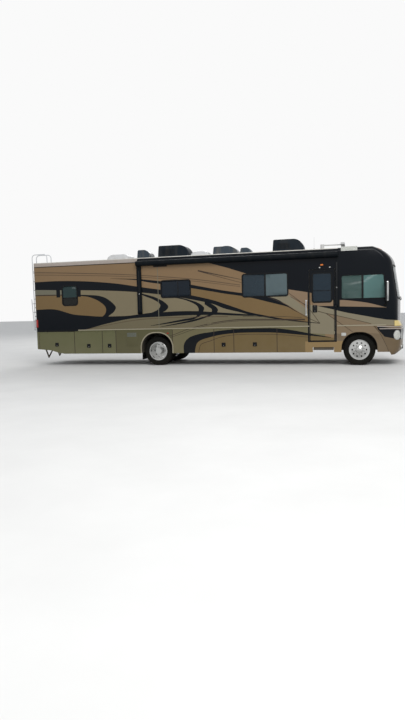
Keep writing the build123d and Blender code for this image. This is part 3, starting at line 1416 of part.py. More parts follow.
def mirrors():
    x = front_x(MIRROR_X)
    head = block(x - MIRROR_T / 2, x + MIRROR_T / 2, -MIRROR_Y1, -MIRROR_Y0, MIRROR_Z0, MIRROR_Z1)
    head = fillet(head.edges(), MIRROR_CORNER)
    y = -(MIRROR_Y0 + MIRROR_Y1) / 2
    low = MIRROR_ARM_Z + MIRROR_ARM_R / 2
    arm = rod_z(x, y, MIRROR_ARM_Z, MIRROR_Z0 + MIRROR_ARM_LAP, MIRROR_ARM_R)
    arm += rod_between((x, y, low), (x - MIRROR_ARM_BACK, -HALF_WIDTH + MIRROR_ARM_IN, low), MIRROR_ARM_R + 2)
    arm = arm - cap_form(0, 0)
    return both_sides(head + arm)


# Lamps
LAMP_T = 12.0
TURN_LAMP_T = 18.0
TURN_LAMP_X0 = 1000.0
TURN_LAMP_IN = 375.0
TURN_LAMP_UP = 138.0
PORCH_LAMP_UP = 114.0
PORCH_LAMP_H = 42.0
ROOF_LAMP_Z = ROOF_SEAM_Z + 35.0
ROOF_LAMPS_Y = (-900.0, -350.0, 0.0, 350.0, 900.0)
ROOF_LAMP_HALF_Y = 60.0
ROOF_LAMP_H = 60.0
ROOF_LAMP_X0 = 300.0
ROOF_LAMP_X1 = 700.0
PORCH_LAMP_HALF_X = 40.0
PORCH_LAMP_OUT = 30.0
TURN_LAMP_DOWN = 17.0
MARKER_HALF_X = 30.0
MARKER_HALF_Z = 17.0
TAIL_LAMP_Z0 = 1326.0
TAIL_LAMP_Z1 = 1586.0
TAIL_LAMP_SHORT = 20.0
MARKER_X = 387.0
MARKER_Z = 1059.0
TAIL_LAMP_Y1 = -HALF_WIDTH + 125.0


def amber_lamps():
    """Corner turn lamps, the porch lamp and the five lamps over the windshield."""
    skin = cap_form(-TURN_LAMP_T, -TURN_LAMP_T) - cap_form(0, 0)
    turn_y = -HALF_WIDTH + TURN_LAMP_IN
    turn = skin & block(front_x(TURN_LAMP_X0), front_x(NOSE_OVERHANG), -HALF_WIDTH, turn_y,
                        BELT_Z - TURN_LAMP_DOWN, BELT_Z + TURN_LAMP_UP)
    middle = front_x((DOOR_X0 + DOOR_X1) / 2)
    low = DOOR_Z1 + PORCH_LAMP_UP
    porch = block(middle - PORCH_LAMP_HALF_X, middle + PORCH_LAMP_HALF_X,
                  -HALF_WIDTH - PORCH_LAMP_OUT, -HALF_WIDTH, low, low + PORCH_LAMP_H)
    solids = [turn, left_of(turn), porch]
    for y in ROOF_LAMPS_Y:
        lamp = block(front_x(ROOF_LAMP_X0), front_x(ROOF_LAMP_X1), y - ROOF_LAMP_HALF_Y, y + ROOF_LAMP_HALF_Y,
                     ROOF_LAMP_Z, ROOF_LAMP_Z + ROOF_LAMP_H)
        solids.append(skin & lamp)
    return Compound(solids)


def red_lamps():
    """Tail lamps that wrap round the rear corners, and a side marker over each rear arch."""
    skin = rear_box(-LAMP_T, 0, REAR_CAP_DEPTH) - rear_box(0, 0, REAR_CAP_DEPTH + 1)
    skin = skin & block(REAR_WALL_X - LAMP_T, REAR_CAP_X - TAIL_LAMP_SHORT, -HALF_WIDTH - LAMP_T, TAIL_LAMP_Y1,
                        TAIL_LAMP_Z0, TAIL_LAMP_Z1)
    x = rear_x(MARKER_X)
    side = block(x - MARKER_HALF_X, x + MARKER_HALF_X, -HALF_WIDTH - LAMP_T, -HALF_WIDTH,
                 MARKER_Z - MARKER_HALF_Z, MARKER_Z + MARKER_HALF_Z)
    return Compound([skin, left_of(skin), side, left_of(side)])


# Cab
DASH_X0 = 700.0
DASH_Z1 = 1960.0
DASH_SIDE_GAP = 125.0
DASH_SKIN_GAP = 5.0


def dash():
    skin = cap_form(WALL_T + DASH_SKIN_GAP, ROOF_T + DASH_SKIN_GAP)
    half = INNER_Y - DASH_SIDE_GAP
    top = skin & block(front_x(DASH_X0), front_x(NOSE_OVERHANG), -half, half, BELT_Z, DASH_Z1)
    return top + steering_wheel()


SEAT_Y = 580.0
SEAT_X = -250.0
SEAT_Z = 1440.0
SEAT_T = 160.0
SEAT_DEPTH = 540.0
SEAT_HALF_W = 270.0
SEAT_CORNER = 30.0
SEAT_BOX_X0 = 60.0
SEAT_BOX_X1 = 460.0
SEAT_BOX_HALF_W = 160.0
SEAT_BACK_T = 140.0
SEAT_BACK_W = 520.0
SEAT_BACK_H = 780.0
SEAT_BACK_LEAN = 12.0
SEAT_BACK_IN = 20.0
SEAT_BACK_LAP = 40.0
SEAT_BACK_CORNER = 40.0
WHEEL_HUB = (520.0, 580.0, 1960.0)
STEER_RING_R = 215.0
STEER_RIM_R = 15.0
STEER_SPOKE_W = 30.0
STEER_SPOKE_T = 14.0
STEER_HUB_R = 50.0
STEER_LEAN = 50.0
COLUMN_R = 28.0
COLUMN_LEN = 400.0
SPOKE_TURNS = (0, 120, 240)


def seat():
    x = front_x(SEAT_X)
    base = block(x + SEAT_BOX_X0, x + SEAT_BOX_X1, -SEAT_Y - SEAT_BOX_HALF_W, -SEAT_Y + SEAT_BOX_HALF_W,
                 BELT_Z, SEAT_Z)
    cushion = block(x, x + SEAT_DEPTH, -SEAT_Y - SEAT_HALF_W, -SEAT_Y + SEAT_HALF_W, SEAT_Z, SEAT_Z + SEAT_T)
    base += fillet(cushion.edges(), SEAT_CORNER)
    foot = Pos(x - SEAT_BACK_IN, -SEAT_Y, SEAT_Z + SEAT_T - SEAT_BACK_LAP) * Rot(0, -SEAT_BACK_LEAN, 0)
    back = foot * Pos(0, 0, SEAT_BACK_H / 2 - SEAT_BACK_LAP / 4) * Box(SEAT_BACK_T, SEAT_BACK_W, SEAT_BACK_H)
    return base + fillet(back.edges(), SEAT_BACK_CORNER)


def seats():
    return both_sides(seat())


def steering_wheel():
    x, y, z = WHEEL_HUB
    place = Pos(front_x(x), y, z) * Rot(0, -STEER_LEAN, 0)
    ring = Torus(STEER_RING_R, STEER_RIM_R)
    for turn in SPOKE_TURNS:
        ring += Rot(0, 0, turn) * Pos(STEER_RING_R / 2, 0, 0) * Box(STEER_RING_R, STEER_SPOKE_W, STEER_SPOKE_T)
    ring += Cylinder(STEER_HUB_R, STEER_SPOKE_W)
    column = Pos(0, 0, -COLUMN_LEN / 2 + 10) * Cylinder(COLUMN_R, COLUMN_LEN)
    return place * (ring + column)


# Hitch and skids under the rear overhang
SKID_W = 50.0
SKID_OUT = 165.0
SKID_IN = 190.0
SKID_Z = 195.0
SKID_TIP_OUT = 30.0
SKID_TOP_UP = 50.0
SKID_BAR = 30.0
RECEIVER_OUT = 63.5
RECEIVER_IN = 50.8
RECEIVER_PIN_R = 8.1
RECEIVER_Z = 500.0
RECEIVER_LEN = 230.0
RECEIVER_END = 60.0
HITCH_CROSS_IN = 190.0
HITCH_CROSS_HALF = 35.0
HITCH_PLATE_HALF_X = 50.0
HITCH_PLATE_HALF_Y = 30.0
RECEIVER_PIN_IN = 45.0


def skid_outline():
    """A triangle of flat bar that points down, open in its middle so that the hitch pin passes through."""
    top = RECEIVER_Z + SKID_TOP_UP
    points = [
        (REAR_WALL_X - SKID_OUT, top),
        (REAR_WALL_X - SKID_TIP_OUT, SKID_Z),
        (REAR_WALL_X + SKID_IN, top),
    ]
    outer = make_face(Polyline(*points, close=True))
    return outer - offset(outer, amount=-SKID_BAR, kind=Kind.INTERSECTION)


def rear_hitch():
    """Two V-shaped skid bars from the rails' ends, a cross tube, and the square receiver on it."""
    cross_x = REAR_WALL_X + HITCH_CROSS_IN
    low = RECEIVER_Z - HITCH_CROSS_HALF
    wide = RAIL_MID_Y + HITCH_PLATE_HALF_Y
    solids = block(cross_x - HITCH_CROSS_HALF, cross_x + HITCH_CROSS_HALF, -wide, wide,
                   low, low + 2 * HITCH_CROSS_HALF)
    for y in (-RAIL_MID_Y, RAIL_MID_Y):
        solids += block(cross_x - HITCH_PLATE_HALF_X, cross_x + HITCH_PLATE_HALF_X,
                        y - HITCH_PLATE_HALF_Y, y + HITCH_PLATE_HALF_Y, low, RAIL_Z - FACE_GAP)
        solids += push_y(skid_outline(), y - SKID_W / 2, y + SKID_W / 2)
    half = RECEIVER_OUT / 2
    x0 = REAR_WALL_X - RECEIVER_END
    solids += block(x0, x0 + RECEIVER_LEN, -half, half, RECEIVER_Z - half, RECEIVER_Z + half)
    hole = RECEIVER_IN / 2
    solids -= block(x0 - 1, cross_x - HITCH_CROSS_HALF - 1, -hole, hole, RECEIVER_Z - hole, RECEIVER_Z + hole)
    return solids - rod_y(x0 + RECEIVER_PIN_IN, -half - 5, half + 5, RECEIVER_Z, RECEIVER_PIN_R)


NODES = {
    "chassis_frame": chassis_frame,
    "engine": engine,
    "front_axle": front_axle,
    "rear_axle": rear_axle,
    "exhaust": exhaust,
    "tanks": tanks,
    "floor": floor,
    "slide_runners": slide_runners,
    "entry_steps": entry_steps,
    "wall_right": wall_right,
    "wall_left": wall_left,
    "roof": roof,
    "front_cap": front_cap,
    "rear_cap": rear_cap,
    "skirt_right": skirt_right,
    "skirt_left": skirt_left,
    "bays_right": bays_right,
    "bays_left": bays_left,
    "front_bumper": front_bumper,
    "windshield": windshield,
    "side_glass": side_glass,
    "window_frames": window_frames,
    "mouldings": mouldings,
    "awning": awning,
    "roof_air_units": roof_air_units,
    "roof_vents": roof_vents,
    "roof_domes": roof_domes,
    "ladder_upper": ladder_upper,
    "ladder_lower": ladder_lower,
    "mirrors": mirrors,
    "headlamps": headlamps,
    "amber_lamps": amber_lamps,
    "red_lamps": red_lamps,
    "dash": dash,
    "seats": seats,
    "rear_hitch": rear_hitch,
    "knuckle_right": knuckle_right,
    "knuckle_left": knuckle_left,
    "entry_door": entry_door,
    "entry_glass": entry_glass,
    "slide_room": slide_room,
    "slide_glass": slide_glass,
}


def wheel_nodes():
    """The rims and tyres of the four wheels, by name."""
    pieces = {}
    for side, word in ((-1, "right"), (1, "left")):
        pieces["rim_front_" + word] = at_wheel(front_rim(), FRONT_AXLE_X, side, FRONT_WHEEL_Y)
        pieces["tyre_front_" + word] = at_wheel(tyre_ring(0), FRONT_AXLE_X, side, FRONT_WHEEL_Y)
        pieces["rims_rear_" + word] = at_wheel(rear_rims(), REAR_AXLE_X, side, OUTER_DUAL_Y)
        pieces["tyres_rear_" + word] = at_wheel(rear_tyres(), REAR_AXLE_X, side, OUTER_DUAL_Y)
    return pieces


def storage_door_nodes():
    pieces = {}
    for row in STORAGE_DOORS:
        name, side = row[0], row[1]
        door = bay_door(row)
        pieces[name] = door if side < 0 else left_of(door)
    return pieces


def main():
    os.makedirs("parts", exist_ok=True)
    pieces = {name: make() for name, make in NODES.items()}
    pieces.update(wheel_nodes())
    pieces.update(storage_door_nodes())
    for name, piece in pieces.items():
        export_step(piece, "parts/" + name + ".step")
    print("wrote", len(pieces), "nodes")


main()
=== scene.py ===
# %% [markdown]
# # A motorhome, dressed around its CAD model
# The solids come from the CAD model with their joints. Blender adds what a body shop and an upholsterer
# would add: paint with its stripes, glass, rubber, chrome, cloth and the small fittings.
# Everything is in metres, with +X forward, +Y to the driver's side and +Z up.

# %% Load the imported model
import json
import math

import bmesh
import bpy
from mathutils import Matrix, Vector
from mathutils.bvhtree import BVHTree
from mathutils.geometry import delaunay_2d_cdt

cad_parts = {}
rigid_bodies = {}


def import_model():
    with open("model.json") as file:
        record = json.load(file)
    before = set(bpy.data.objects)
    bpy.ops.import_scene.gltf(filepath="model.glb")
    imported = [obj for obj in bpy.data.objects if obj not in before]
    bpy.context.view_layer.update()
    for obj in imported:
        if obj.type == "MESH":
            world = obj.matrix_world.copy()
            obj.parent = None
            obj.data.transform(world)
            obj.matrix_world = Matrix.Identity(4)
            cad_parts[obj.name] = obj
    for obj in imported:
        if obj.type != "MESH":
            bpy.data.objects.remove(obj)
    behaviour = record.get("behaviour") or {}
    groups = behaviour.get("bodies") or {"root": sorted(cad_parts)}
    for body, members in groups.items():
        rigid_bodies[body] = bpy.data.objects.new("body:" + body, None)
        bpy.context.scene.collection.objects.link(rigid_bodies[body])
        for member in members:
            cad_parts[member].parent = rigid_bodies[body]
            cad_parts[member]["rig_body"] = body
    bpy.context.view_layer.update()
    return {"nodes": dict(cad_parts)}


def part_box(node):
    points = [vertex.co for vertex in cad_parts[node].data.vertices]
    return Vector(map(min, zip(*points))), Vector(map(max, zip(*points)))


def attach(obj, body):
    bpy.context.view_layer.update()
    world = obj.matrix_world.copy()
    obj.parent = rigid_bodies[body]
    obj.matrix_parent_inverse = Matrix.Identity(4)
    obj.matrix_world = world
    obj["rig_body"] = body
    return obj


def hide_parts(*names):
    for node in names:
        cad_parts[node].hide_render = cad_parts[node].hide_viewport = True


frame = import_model()

# %% [markdown]
# Places are read off the CAD nodes where they can be, so that a change there moves the pieces too.
# The wheels' middles give both axles, and the right wall gives the width.

# %% Places taken from the CAD nodes


def middle_of(node):
    low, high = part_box(node)
    return (low + high) / 2


FRONT_AXLE = middle_of("tyre_front_right").x
REAR_AXLE = middle_of("tyres_rear_right").x
AXLE_Z = middle_of("tyre_front_right").z
TYRE_R = (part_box("tyre_front_right")[1].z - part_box("tyre_front_right")[0].z) / 2
HALF_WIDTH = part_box("wall_left")[1].y
REAR_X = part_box("rear_cap")[0].x
NOSE_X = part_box("front_bumper")[1].x
BELT_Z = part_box("wall_left")[0].z
print("axles", round(FRONT_AXLE, 3), round(REAR_AXLE, 3), "half width", round(HALF_WIDTH, 3))

# %% [markdown]
# The camera stands low and far on the passenger's side, a little ahead of the front axle, and looks back
# along the body, so the nose comes out larger than the tail. Its place and turn were fitted to the wheels,
# the belt line and the roof line. A long side of 36 mm of film goes with the picture's height.

# %% Camera
CAMERA_PLACE = Vector((FRONT_AXLE - 0.0633, -19.237, 1.782))
CAMERA_YAW = 0.2614
CAMERA_PITCH = -0.0859
CAMERA_ROLL = -0.0256
CAMERA_LENS = 29.03
CAMERA_SEES_TO = 400.0


def camera_turn():
    """The camera's axes as a matrix: right, up and backwards."""
    flat = math.cos(CAMERA_PITCH)
    ahead = Vector((-math.sin(CAMERA_YAW) * flat, math.cos(CAMERA_YAW) * flat, math.sin(CAMERA_PITCH)))
    level = Vector((math.cos(CAMERA_YAW), math.sin(CAMERA_YAW), 0))
    upright = level.cross(ahead)
    right = level * math.cos(CAMERA_ROLL) + upright * math.sin(CAMERA_ROLL)
    up = upright * math.cos(CAMERA_ROLL) - level * math.sin(CAMERA_ROLL)
    return Matrix((right, up, -ahead)).transposed().to_4x4()


camera = bpy.data.objects.new("camera", bpy.data.cameras.new("camera"))
camera.data.lens = CAMERA_LENS
camera.data.clip_end = CAMERA_SEES_TO
camera.matrix_world = Matrix.Translation(CAMERA_PLACE) @ camera_turn()
bpy.context.scene.collection.objects.link(camera)
bpy.context.scene.camera = camera
bpy.context.scene.view_settings.view_transform = "Standard"
print("camera at", [round(value, 3) for value in CAMERA_PLACE])

# %% [markdown]
# Colours are written as the eye reads them on a screen, and Blender wants them linear, so one small
# function turns the first kind into the second.

# %% Colour helper


def tone(red, green, blue):
    """A screen colour from 0 to 255 as a linear colour."""
    parts = []
    for value in (red, green, blue):
        share = value / 255
        parts.append(share / 12.92 if share <= 0.04045 else ((share + 0.055) / 1.055) ** 2.4)
    return (*parts, 1.0)


# %% [markdown]
# Four effects come back in many finishes, so each is built once as a node group: a slow drift in tone,
# dust that gathers low on the body, fine grain for the surface's relief, and rain streaks. They read object
# coordinates. Each piece keeps its origin at the vehicle's own, so a door carries its dust with it.

# %% Node helpers


def start_group(name, inputs, outputs):
    """An empty node group with its sockets, and its input and output nodes."""
    group = bpy.data.node_groups.new(name, "ShaderNodeTree")
    for label, kind, value in inputs:
        socket = group.interface.new_socket(label, in_out="INPUT", socket_type=kind)
        socket.default_value = value
    for label, kind in outputs:
        group.interface.new_socket(label, in_out="OUTPUT", socket_type=kind)
    return group, group.nodes.new("NodeGroupInput"), group.nodes.new("NodeGroupOutput")


def maths(tree, operation, first, second, clamp=False):
    """A maths node whose inputs are sockets or numbers."""
    node = tree.nodes.new("ShaderNodeMath")
    node.operation = operation
    node.use_clamp = clamp
    for socket, value in zip(node.inputs, (first, second)):
        if isinstance(value, (int, float)):
            socket.default_value = value
        else:
            tree.links.new(value, socket)
    return node.outputs[0]


def mixed(tree, factor, first, second):
    """A colour mix of three sockets."""
    node = tree.nodes.new("ShaderNodeMix")
    node.data_type = "RGBA"
    for place, source in ((0, factor), (6, first), (7, second)):
        tree.links.new(source, node.inputs[place])
    return node.outputs[2]


def scaled(tree, colour, factor):
    """A colour made lighter or darker by a factor. Both are sockets."""
    node = tree.nodes.new("ShaderNodeVectorMath")
    node.operation = "SCALE"
    tree.links.new(colour, node.inputs[0])
    tree.links.new(factor, node.inputs["Scale"])
    return node.outputs[0]


def object_axes(tree):
    """The object coordinates, as sockets named X, Y and Z."""
    split = tree.nodes.new("ShaderNodeSeparateXYZ")
    tree.links.new(tree.nodes.new("ShaderNodeTexCoord").outputs["Object"], split.inputs[0])
    return split.outputs


def noise(tree, scale, detail, stretch=(1, 1, 1)):
    """Object-space noise. stretch squeezes or draws it out along an axis."""
    place = tree.nodes.new("ShaderNodeTexCoord").outputs["Object"]
    mapping = tree.nodes.new("ShaderNodeMapping")
    mapping.inputs["Scale"].default_value = stretch
    tree.links.new(place, mapping.inputs["Vector"])
    node = tree.nodes.new("ShaderNodeTexNoise")
    node.inputs["Detail"].default_value = detail
    if isinstance(scale, (int, float)):
        node.inputs["Scale"].default_value = scale
    else:
        tree.links.new(scale, node.inputs["Scale"])
    tree.links.new(mapping.outputs[0], node.inputs["Vector"])
    return node.outputs["Fac"]


print("node helpers ready")

# %% Shared shader groups


def drift_group():
    inputs = [("Colour", "NodeSocketColor", (1, 1, 1, 1)), ("Scale", "NodeSocketFloat", 1.0),
              ("Depth", "NodeSocketFloat", 0.1)]
    group, given, out = start_group("tone_drift", inputs, [("Colour", "NodeSocketColor")])
    spread = noise(group, given.outputs["Scale"], 4.0)
    shade = maths(group, "SUBTRACT", spread, 0.5)
    shade = maths(group, "MULTIPLY", shade, given.outputs["Depth"])
    shade = maths(group, "ADD", shade, 1.0)
    group.links.new(scaled(group, given.outputs["Colour"], shade), out.inputs["Colour"])
    return group


def dust_group():
    inputs = [("Colour", "NodeSocketColor", (1, 1, 1, 1)), ("Dust", "NodeSocketColor", (1, 1, 1, 1)),
              ("Top", "NodeSocketFloat", 1.2), ("Amount", "NodeSocketFloat", 0.3)]
    outputs = [("Colour", "NodeSocketColor"), ("Mask", "NodeSocketFloat")]
    group, given, out = start_group("low_dust", inputs, outputs)
    height = maths(group, "DIVIDE", object_axes(group)["Z"], given.outputs["Top"])
    low = maths(group, "SUBTRACT", 1.0, height, clamp=True)
    cloud = noise(group, 2.4, 6.0)
    cloud = maths(group, "MULTIPLY", cloud, 1.7)
    mask = maths(group, "MULTIPLY", low, cloud)
    mask = maths(group, "MULTIPLY", mask, given.outputs["Amount"], clamp=True)
    colour = mixed(group, mask, given.outputs["Colour"], given.outputs["Dust"])
    group.links.new(colour, out.inputs["Colour"])
    group.links.new(mask, out.inputs["Mask"])
    return group


def grain_group():
    inputs = [("Scale", "NodeSocketFloat", 200.0), ("Depth", "NodeSocketFloat", 0.1)]
    group, given, out = start_group("fine_grain", inputs, [("Height", "NodeSocketFloat")])
    height = noise(group, given.outputs["Scale"], 2.0)
    height = maths(group, "MULTIPLY", height, given.outputs["Depth"])
    group.links.new(height, out.inputs["Height"])
    return group


def streak_group():
    inputs = [("Colour", "NodeSocketColor", (1, 1, 1, 1)), ("Streak", "NodeSocketColor", (0, 0, 0, 1)),
              ("Amount", "NodeSocketFloat", 0.2)]
    group, given, out = start_group("rain_streaks", inputs, [("Colour", "NodeSocketColor")])
    lines = noise(group, 3.0, 3.0, (3.0, 3.0, 0.22))
    lines = maths(group, "SUBTRACT", lines, 0.48, clamp=True)
    lines = maths(group, "MULTIPLY", lines, 4.0, clamp=True)
    mask = maths(group, "MULTIPLY", lines, given.outputs["Amount"], clamp=True)
    colour = mixed(group, mask, given.outputs["Colour"], given.outputs["Streak"])
    group.links.new(colour, out.inputs["Colour"])
    return group


GROUPS = {"drift": drift_group(), "dust": dust_group(), "grain": grain_group(), "streak": streak_group()}
print("shader groups", sorted(group.name for group in GROUPS.values()))

# %% [markdown]
# One function places those groups in a material with that finish's own values. What is the same all over
# a surface, such as how metallic it is or how strong its clear coat is, goes straight on the shader.

# %% Material maker
DUST = tone(148, 136, 116)
COAT_ROUGH = 0.04
ROUGH_LEAST = 0.75
ROUGH_SPREAD = 0.5
DUST_ROUGH = 0.5


def place_group(tree, name, colour=None, **values):
    """Places one shared group, sets its inputs and returns its node."""
    node = tree.nodes.new("ShaderNodeGroup")
    node.node_tree = GROUPS[name]
    if isinstance(colour, tuple):
        node.inputs["Colour"].default_value = colour
    elif colour is not None:
        tree.links.new(colour, node.inputs["Colour"])
    for label, value in values.items():
        node.inputs[label].default_value = value
    return node


def finish(name, colour, rough, metal=0.0, coat=0.0, specular=0.5, drift=(0.9, 0.12), dust=0.0,
           dust_top=1.3, streak=0.0, grain=(180.0, 0.02), relief=0.002, alpha=1.0):
    """A material from the shared effects. The values say how strong each of them is here."""
    made = bpy.data.materials.new(name)
    made.use_nodes = True
    tree = made.node_tree
    shader = tree.nodes["Principled BSDF"]
    for label, value in (("Metallic", metal), ("Coat Weight", coat), ("Coat Roughness", COAT_ROUGH),
                         ("Specular IOR Level", specular), ("Alpha", alpha)):
        shader.inputs[label].default_value = value
    shown = place_group(tree, "drift", colour, Scale=drift[0], Depth=drift[1]).outputs["Colour"]
    if streak:
        shown = place_group(tree, "streak", shown, Streak=DUST, Amount=streak).outputs["Colour"]
    base_rough = maths(tree, "MULTIPLY", noise(tree, 5.0, 4.0), rough * ROUGH_SPREAD)
    base_rough = maths(tree, "ADD", base_rough, rough * ROUGH_LEAST)
    if dust:
        film = place_group(tree, "dust", shown, Dust=DUST, Top=dust_top, Amount=dust)
        shown = film.outputs["Colour"]
        dulled = maths(tree, "MULTIPLY", film.outputs["Mask"], DUST_ROUGH)
        base_rough = maths(tree, "ADD", base_rough, dulled, clamp=True)
    tree.links.new(shown, shader.inputs["Base Color"])
    tree.links.new(base_rough, shader.inputs["Roughness"])
    height = place_group(tree, "grain", Scale=grain[0], Depth=grain[1]).outputs["Height"]
    bump = tree.nodes.new("ShaderNodeBump")
    bump.inputs["Distance"].default_value = relief
    tree.links.new(height, bump.inputs["Height"])
    tree.links.new(bump.outputs[0], shader.inputs["Normal"])
    return made


# %% [markdown]
# The coach is sprayed in warm browns over olive, with black bands, and sealed under clear coat. Each tone
# is one row of a table, and all of them share one recipe, so the panels look sprayed in one booth. The
# real coach wears fewer paints: most of the tans, browns and olives are a few paints as they looked lit or
# shaded on their panels, so the steps between them are painted light and shade. Paint dulls a little
# towards the ground, where dust settles. The black is kept a touch blue, a painted reflection of the daylight
# sky.

# %% Paints
# Apart from line, pinstripe and cream, the rows are a few paints as they looked lit or shaded on different
# panels: painted light and shade.
PAINT_ROWS = (
    # name, screen colour, dust
    ("tan", (126, 102, 73), 0.12),
    ("tan_side", (112, 90, 56), 0.12),
    ("tan_low", (101, 83, 46), 0.2),
    ("tan_door", (134, 110, 70), 0.15),
    ("olive", (119, 109, 85), 0.12),
    ("stone", (106, 103, 87), 0.1),
    ("grey_olive", (104, 96, 73), 0.15),
    ("skirt_rear", (93, 93, 62), 0.2),
    ("skirt_mid", (82, 79, 51), 0.12),
    ("olive_low", (102, 96, 67), 0.2),
    ("pale_olive", (124, 116, 95), 0.12),
    ("spear", (127, 106, 83), 0.1),
    ("brown", (120, 103, 80), 0.15),
    ("fender", (104, 88, 66), 0.25),
    ("bumper", (97, 80, 56), 0.2),
    ("line", (50, 38, 28), 0.05),
    ("pinstripe", (74, 58, 43), 0.05),
    ("cream", (160, 150, 142), 0.1),
)
PAINTS = {}
for name, colour, dust in PAINT_ROWS:
    PAINTS[name] = finish("paint_" + name, tone(*colour), 0.34, coat=0.1, specular=0.26, dust=dust,
                          streak=0.25 if name == "cream" else 0.0)
# The black's blue tint is a painted reflection of the sky.
PAINTS["black"] = finish("paint_black", tone(9, 14, 20), 0.16, specular=0.13, drift=(0.9, 0.4), dust=0.03)
PAINTS["roof_top"] = finish("roof_rubber", tone(198, 194, 184), 0.7, streak=0.35, grain=(90.0, 0.25))
PAINTS["lining"] = finish("cabin_lining", tone(176, 164, 142), 0.7, specular=0.3, grain=(420.0, 0.2))
PAINTS["underside"] = finish("underside_black", tone(24, 24, 24), 0.8, specular=0.2, dust=0.35, dust_top=1.6)
print("paints", len(PAINTS))

# %% [markdown]
# The other finishes differ in roughness, relief and dirt more than in colour: cast iron is coarse, moulded
# plastic has a fine grain, and chrome is nearly a mirror with a little dirt on it near the ground.

# %% Other finishes
SHADES = {
    "frame_black": finish("frame_black", tone(19, 19, 20), 0.6, specular=0.25, dust=0.5, grain=(120.0, 0.3)),
    "cast_iron": finish("cast_iron", tone(78, 76, 72), 0.6, metal=0.3, dust=0.5, grain=(260.0, 0.6)),
    "pipe_steel": finish("pipe_steel", tone(120, 110, 98), 0.4, metal=0.8, drift=(6.0, 0.5), dust=0.4),
    "bay_plastic": finish("bay_plastic", tone(36, 36, 37), 0.55, specular=0.3, dust=0.3, grain=(300.0, 0.5)),
    "floor_board": finish("floor_board", tone(112, 88, 62), 0.5, drift=(3.0, 0.4)),
    "gloss_black": finish("gloss_black", tone(9, 11, 13), 0.2, specular=0.18, drift=(4.0, 0.3)),
    "satin_black": finish("satin_black", tone(15, 17, 19), 0.45, specular=0.2, grain=(500.0, 0.3)),
    "rubber": finish("rubber_seal", tone(13, 13, 14), 0.6, specular=0.2, grain=(700.0, 0.4)),
    "tyre": finish("tyre_rubber", tone(13, 14, 13), 0.85, specular=0.1, drift=(3.0, 0.4), dust=0.03,
                   dust_top=1.2, grain=(260.0, 0.5)),
    "cream_trim": finish("cream_trim", tone(150, 143, 122), 0.35, specular=0.3, streak=0.2),
    "awning_case": finish("awning_case", tone(5, 11, 16), 0.5, specular=0.1, streak=0.02),
    "shroud": finish("shroud_black", tone(15, 25, 33), 0.6, specular=0.15, streak=0.06, grain=(240.0, 0.5)),
    "smoke": finish("smoke_plastic", tone(44, 56, 66), 0.28, specular=0.35, streak=0.25),
    "white": finish("white_plastic", tone(206, 206, 205), 0.4, specular=0.35, streak=0.2, grain=(200.0, 0.1)),
    "white_tube": finish("white_tube", tone(202, 204, 206), 0.35, specular=0.35),
    "chrome": finish("chrome", tone(186, 187, 186), 0.1, metal=1.0, drift=(5.0, 0.2), dust=0.1),
    "mirror": finish("mirror_glass", tone(160, 168, 172), 0.03, metal=1.0, drift=(2.0, 0.1)),
    "steel": finish("bright_steel", tone(150, 151, 150), 0.3, metal=1.0, drift=(8.0, 0.3), dust=0.2),
    "clear_lens": finish("clear_lens", tone(186, 187, 180), 0.12, specular=0.5, drift=(26.0, 0.5),
                         grain=(55.0, 1.0), relief=0.006),
    "amber": finish("amber_lens", tone(206, 112, 34), 0.2, specular=0.5, drift=(60.0, 0.35)),
    "turn_lens": finish("turn_lens", tone(206, 184, 120), 0.2, specular=0.5, drift=(40.0, 0.3)),
    "red": finish("red_lens", tone(160, 26, 18), 0.2, specular=0.5, drift=(60.0, 0.35)),
    "dash": finish("dash_plastic", tone(70, 62, 54), 0.6, specular=0.3, grain=(400.0, 0.6)),
    "louvre": finish("louvre_grey", tone(104, 112, 110), 0.5, specular=0.3, dust=0.2),
}
print("other finishes", len(SHADES))

# %% [markdown]
# Seat cloth is woven. Two crossed sets of fine waves give the threads, as height for the relief and as a
# mask that darkens the gaps between them, so the seats read as cloth and not as paint.

# %% Seat cloth


def weave_group():
    inputs = [("Threads", "NodeSocketFloat", 240.0), ("Dark", "NodeSocketFloat", 0.3)]
    outputs = [("Height", "NodeSocketFloat"), ("Shade", "NodeSocketFloat")]
    group, given, out = start_group("cloth_weave", inputs, outputs)
    places = object_axes(group)
    waves = []
    for axis in ("X", "Y", "Z"):
        angle = maths(group, "MULTIPLY", places[axis], given.outputs["Threads"])
        waves.append(maths(group, "SINE", angle, 0.0))
    height = maths(group, "MULTIPLY", maths(group, "ADD", waves[0], waves[2]), waves[1])
    height = maths(group, "MULTIPLY", height, 0.25)
    height = maths(group, "ADD", height, 0.5, clamp=True)
    shade = maths(group, "SUBTRACT", 1.0, maths(group, "MULTIPLY", height, given.outputs["Dark"]))
    group.links.new(height, out.inputs["Height"])
    group.links.new(shade, out.inputs["Shade"])
    return group


GROUPS["weave"] = weave_group()


def cloth(name, colour):
    """Woven cloth with a soft sheen."""
    made = finish(name, colour, 0.9, specular=0.15, relief=0.001)
    tree = made.node_tree
    shader = tree.nodes["Principled BSDF"]
    shader.inputs["Sheen Weight"].default_value = 0.35
    weave = place_group(tree, "weave", Threads=700.0, Dark=0.5)
    base = shader.inputs["Base Color"].links[0].from_socket
    tree.links.new(scaled(tree, base, weave.outputs["Shade"]), shader.inputs["Base Color"])
    bump = shader.inputs["Normal"].links[0].from_node
    tree.links.new(weave.outputs["Height"], bump.inputs["Height"])
    return made


SHADES["seat"] = cloth("seat_cloth", tone(156, 140, 116))
SHADES["seat_edge"] = cloth("seat_piping", tone(92, 78, 62))
print("cloths ready")
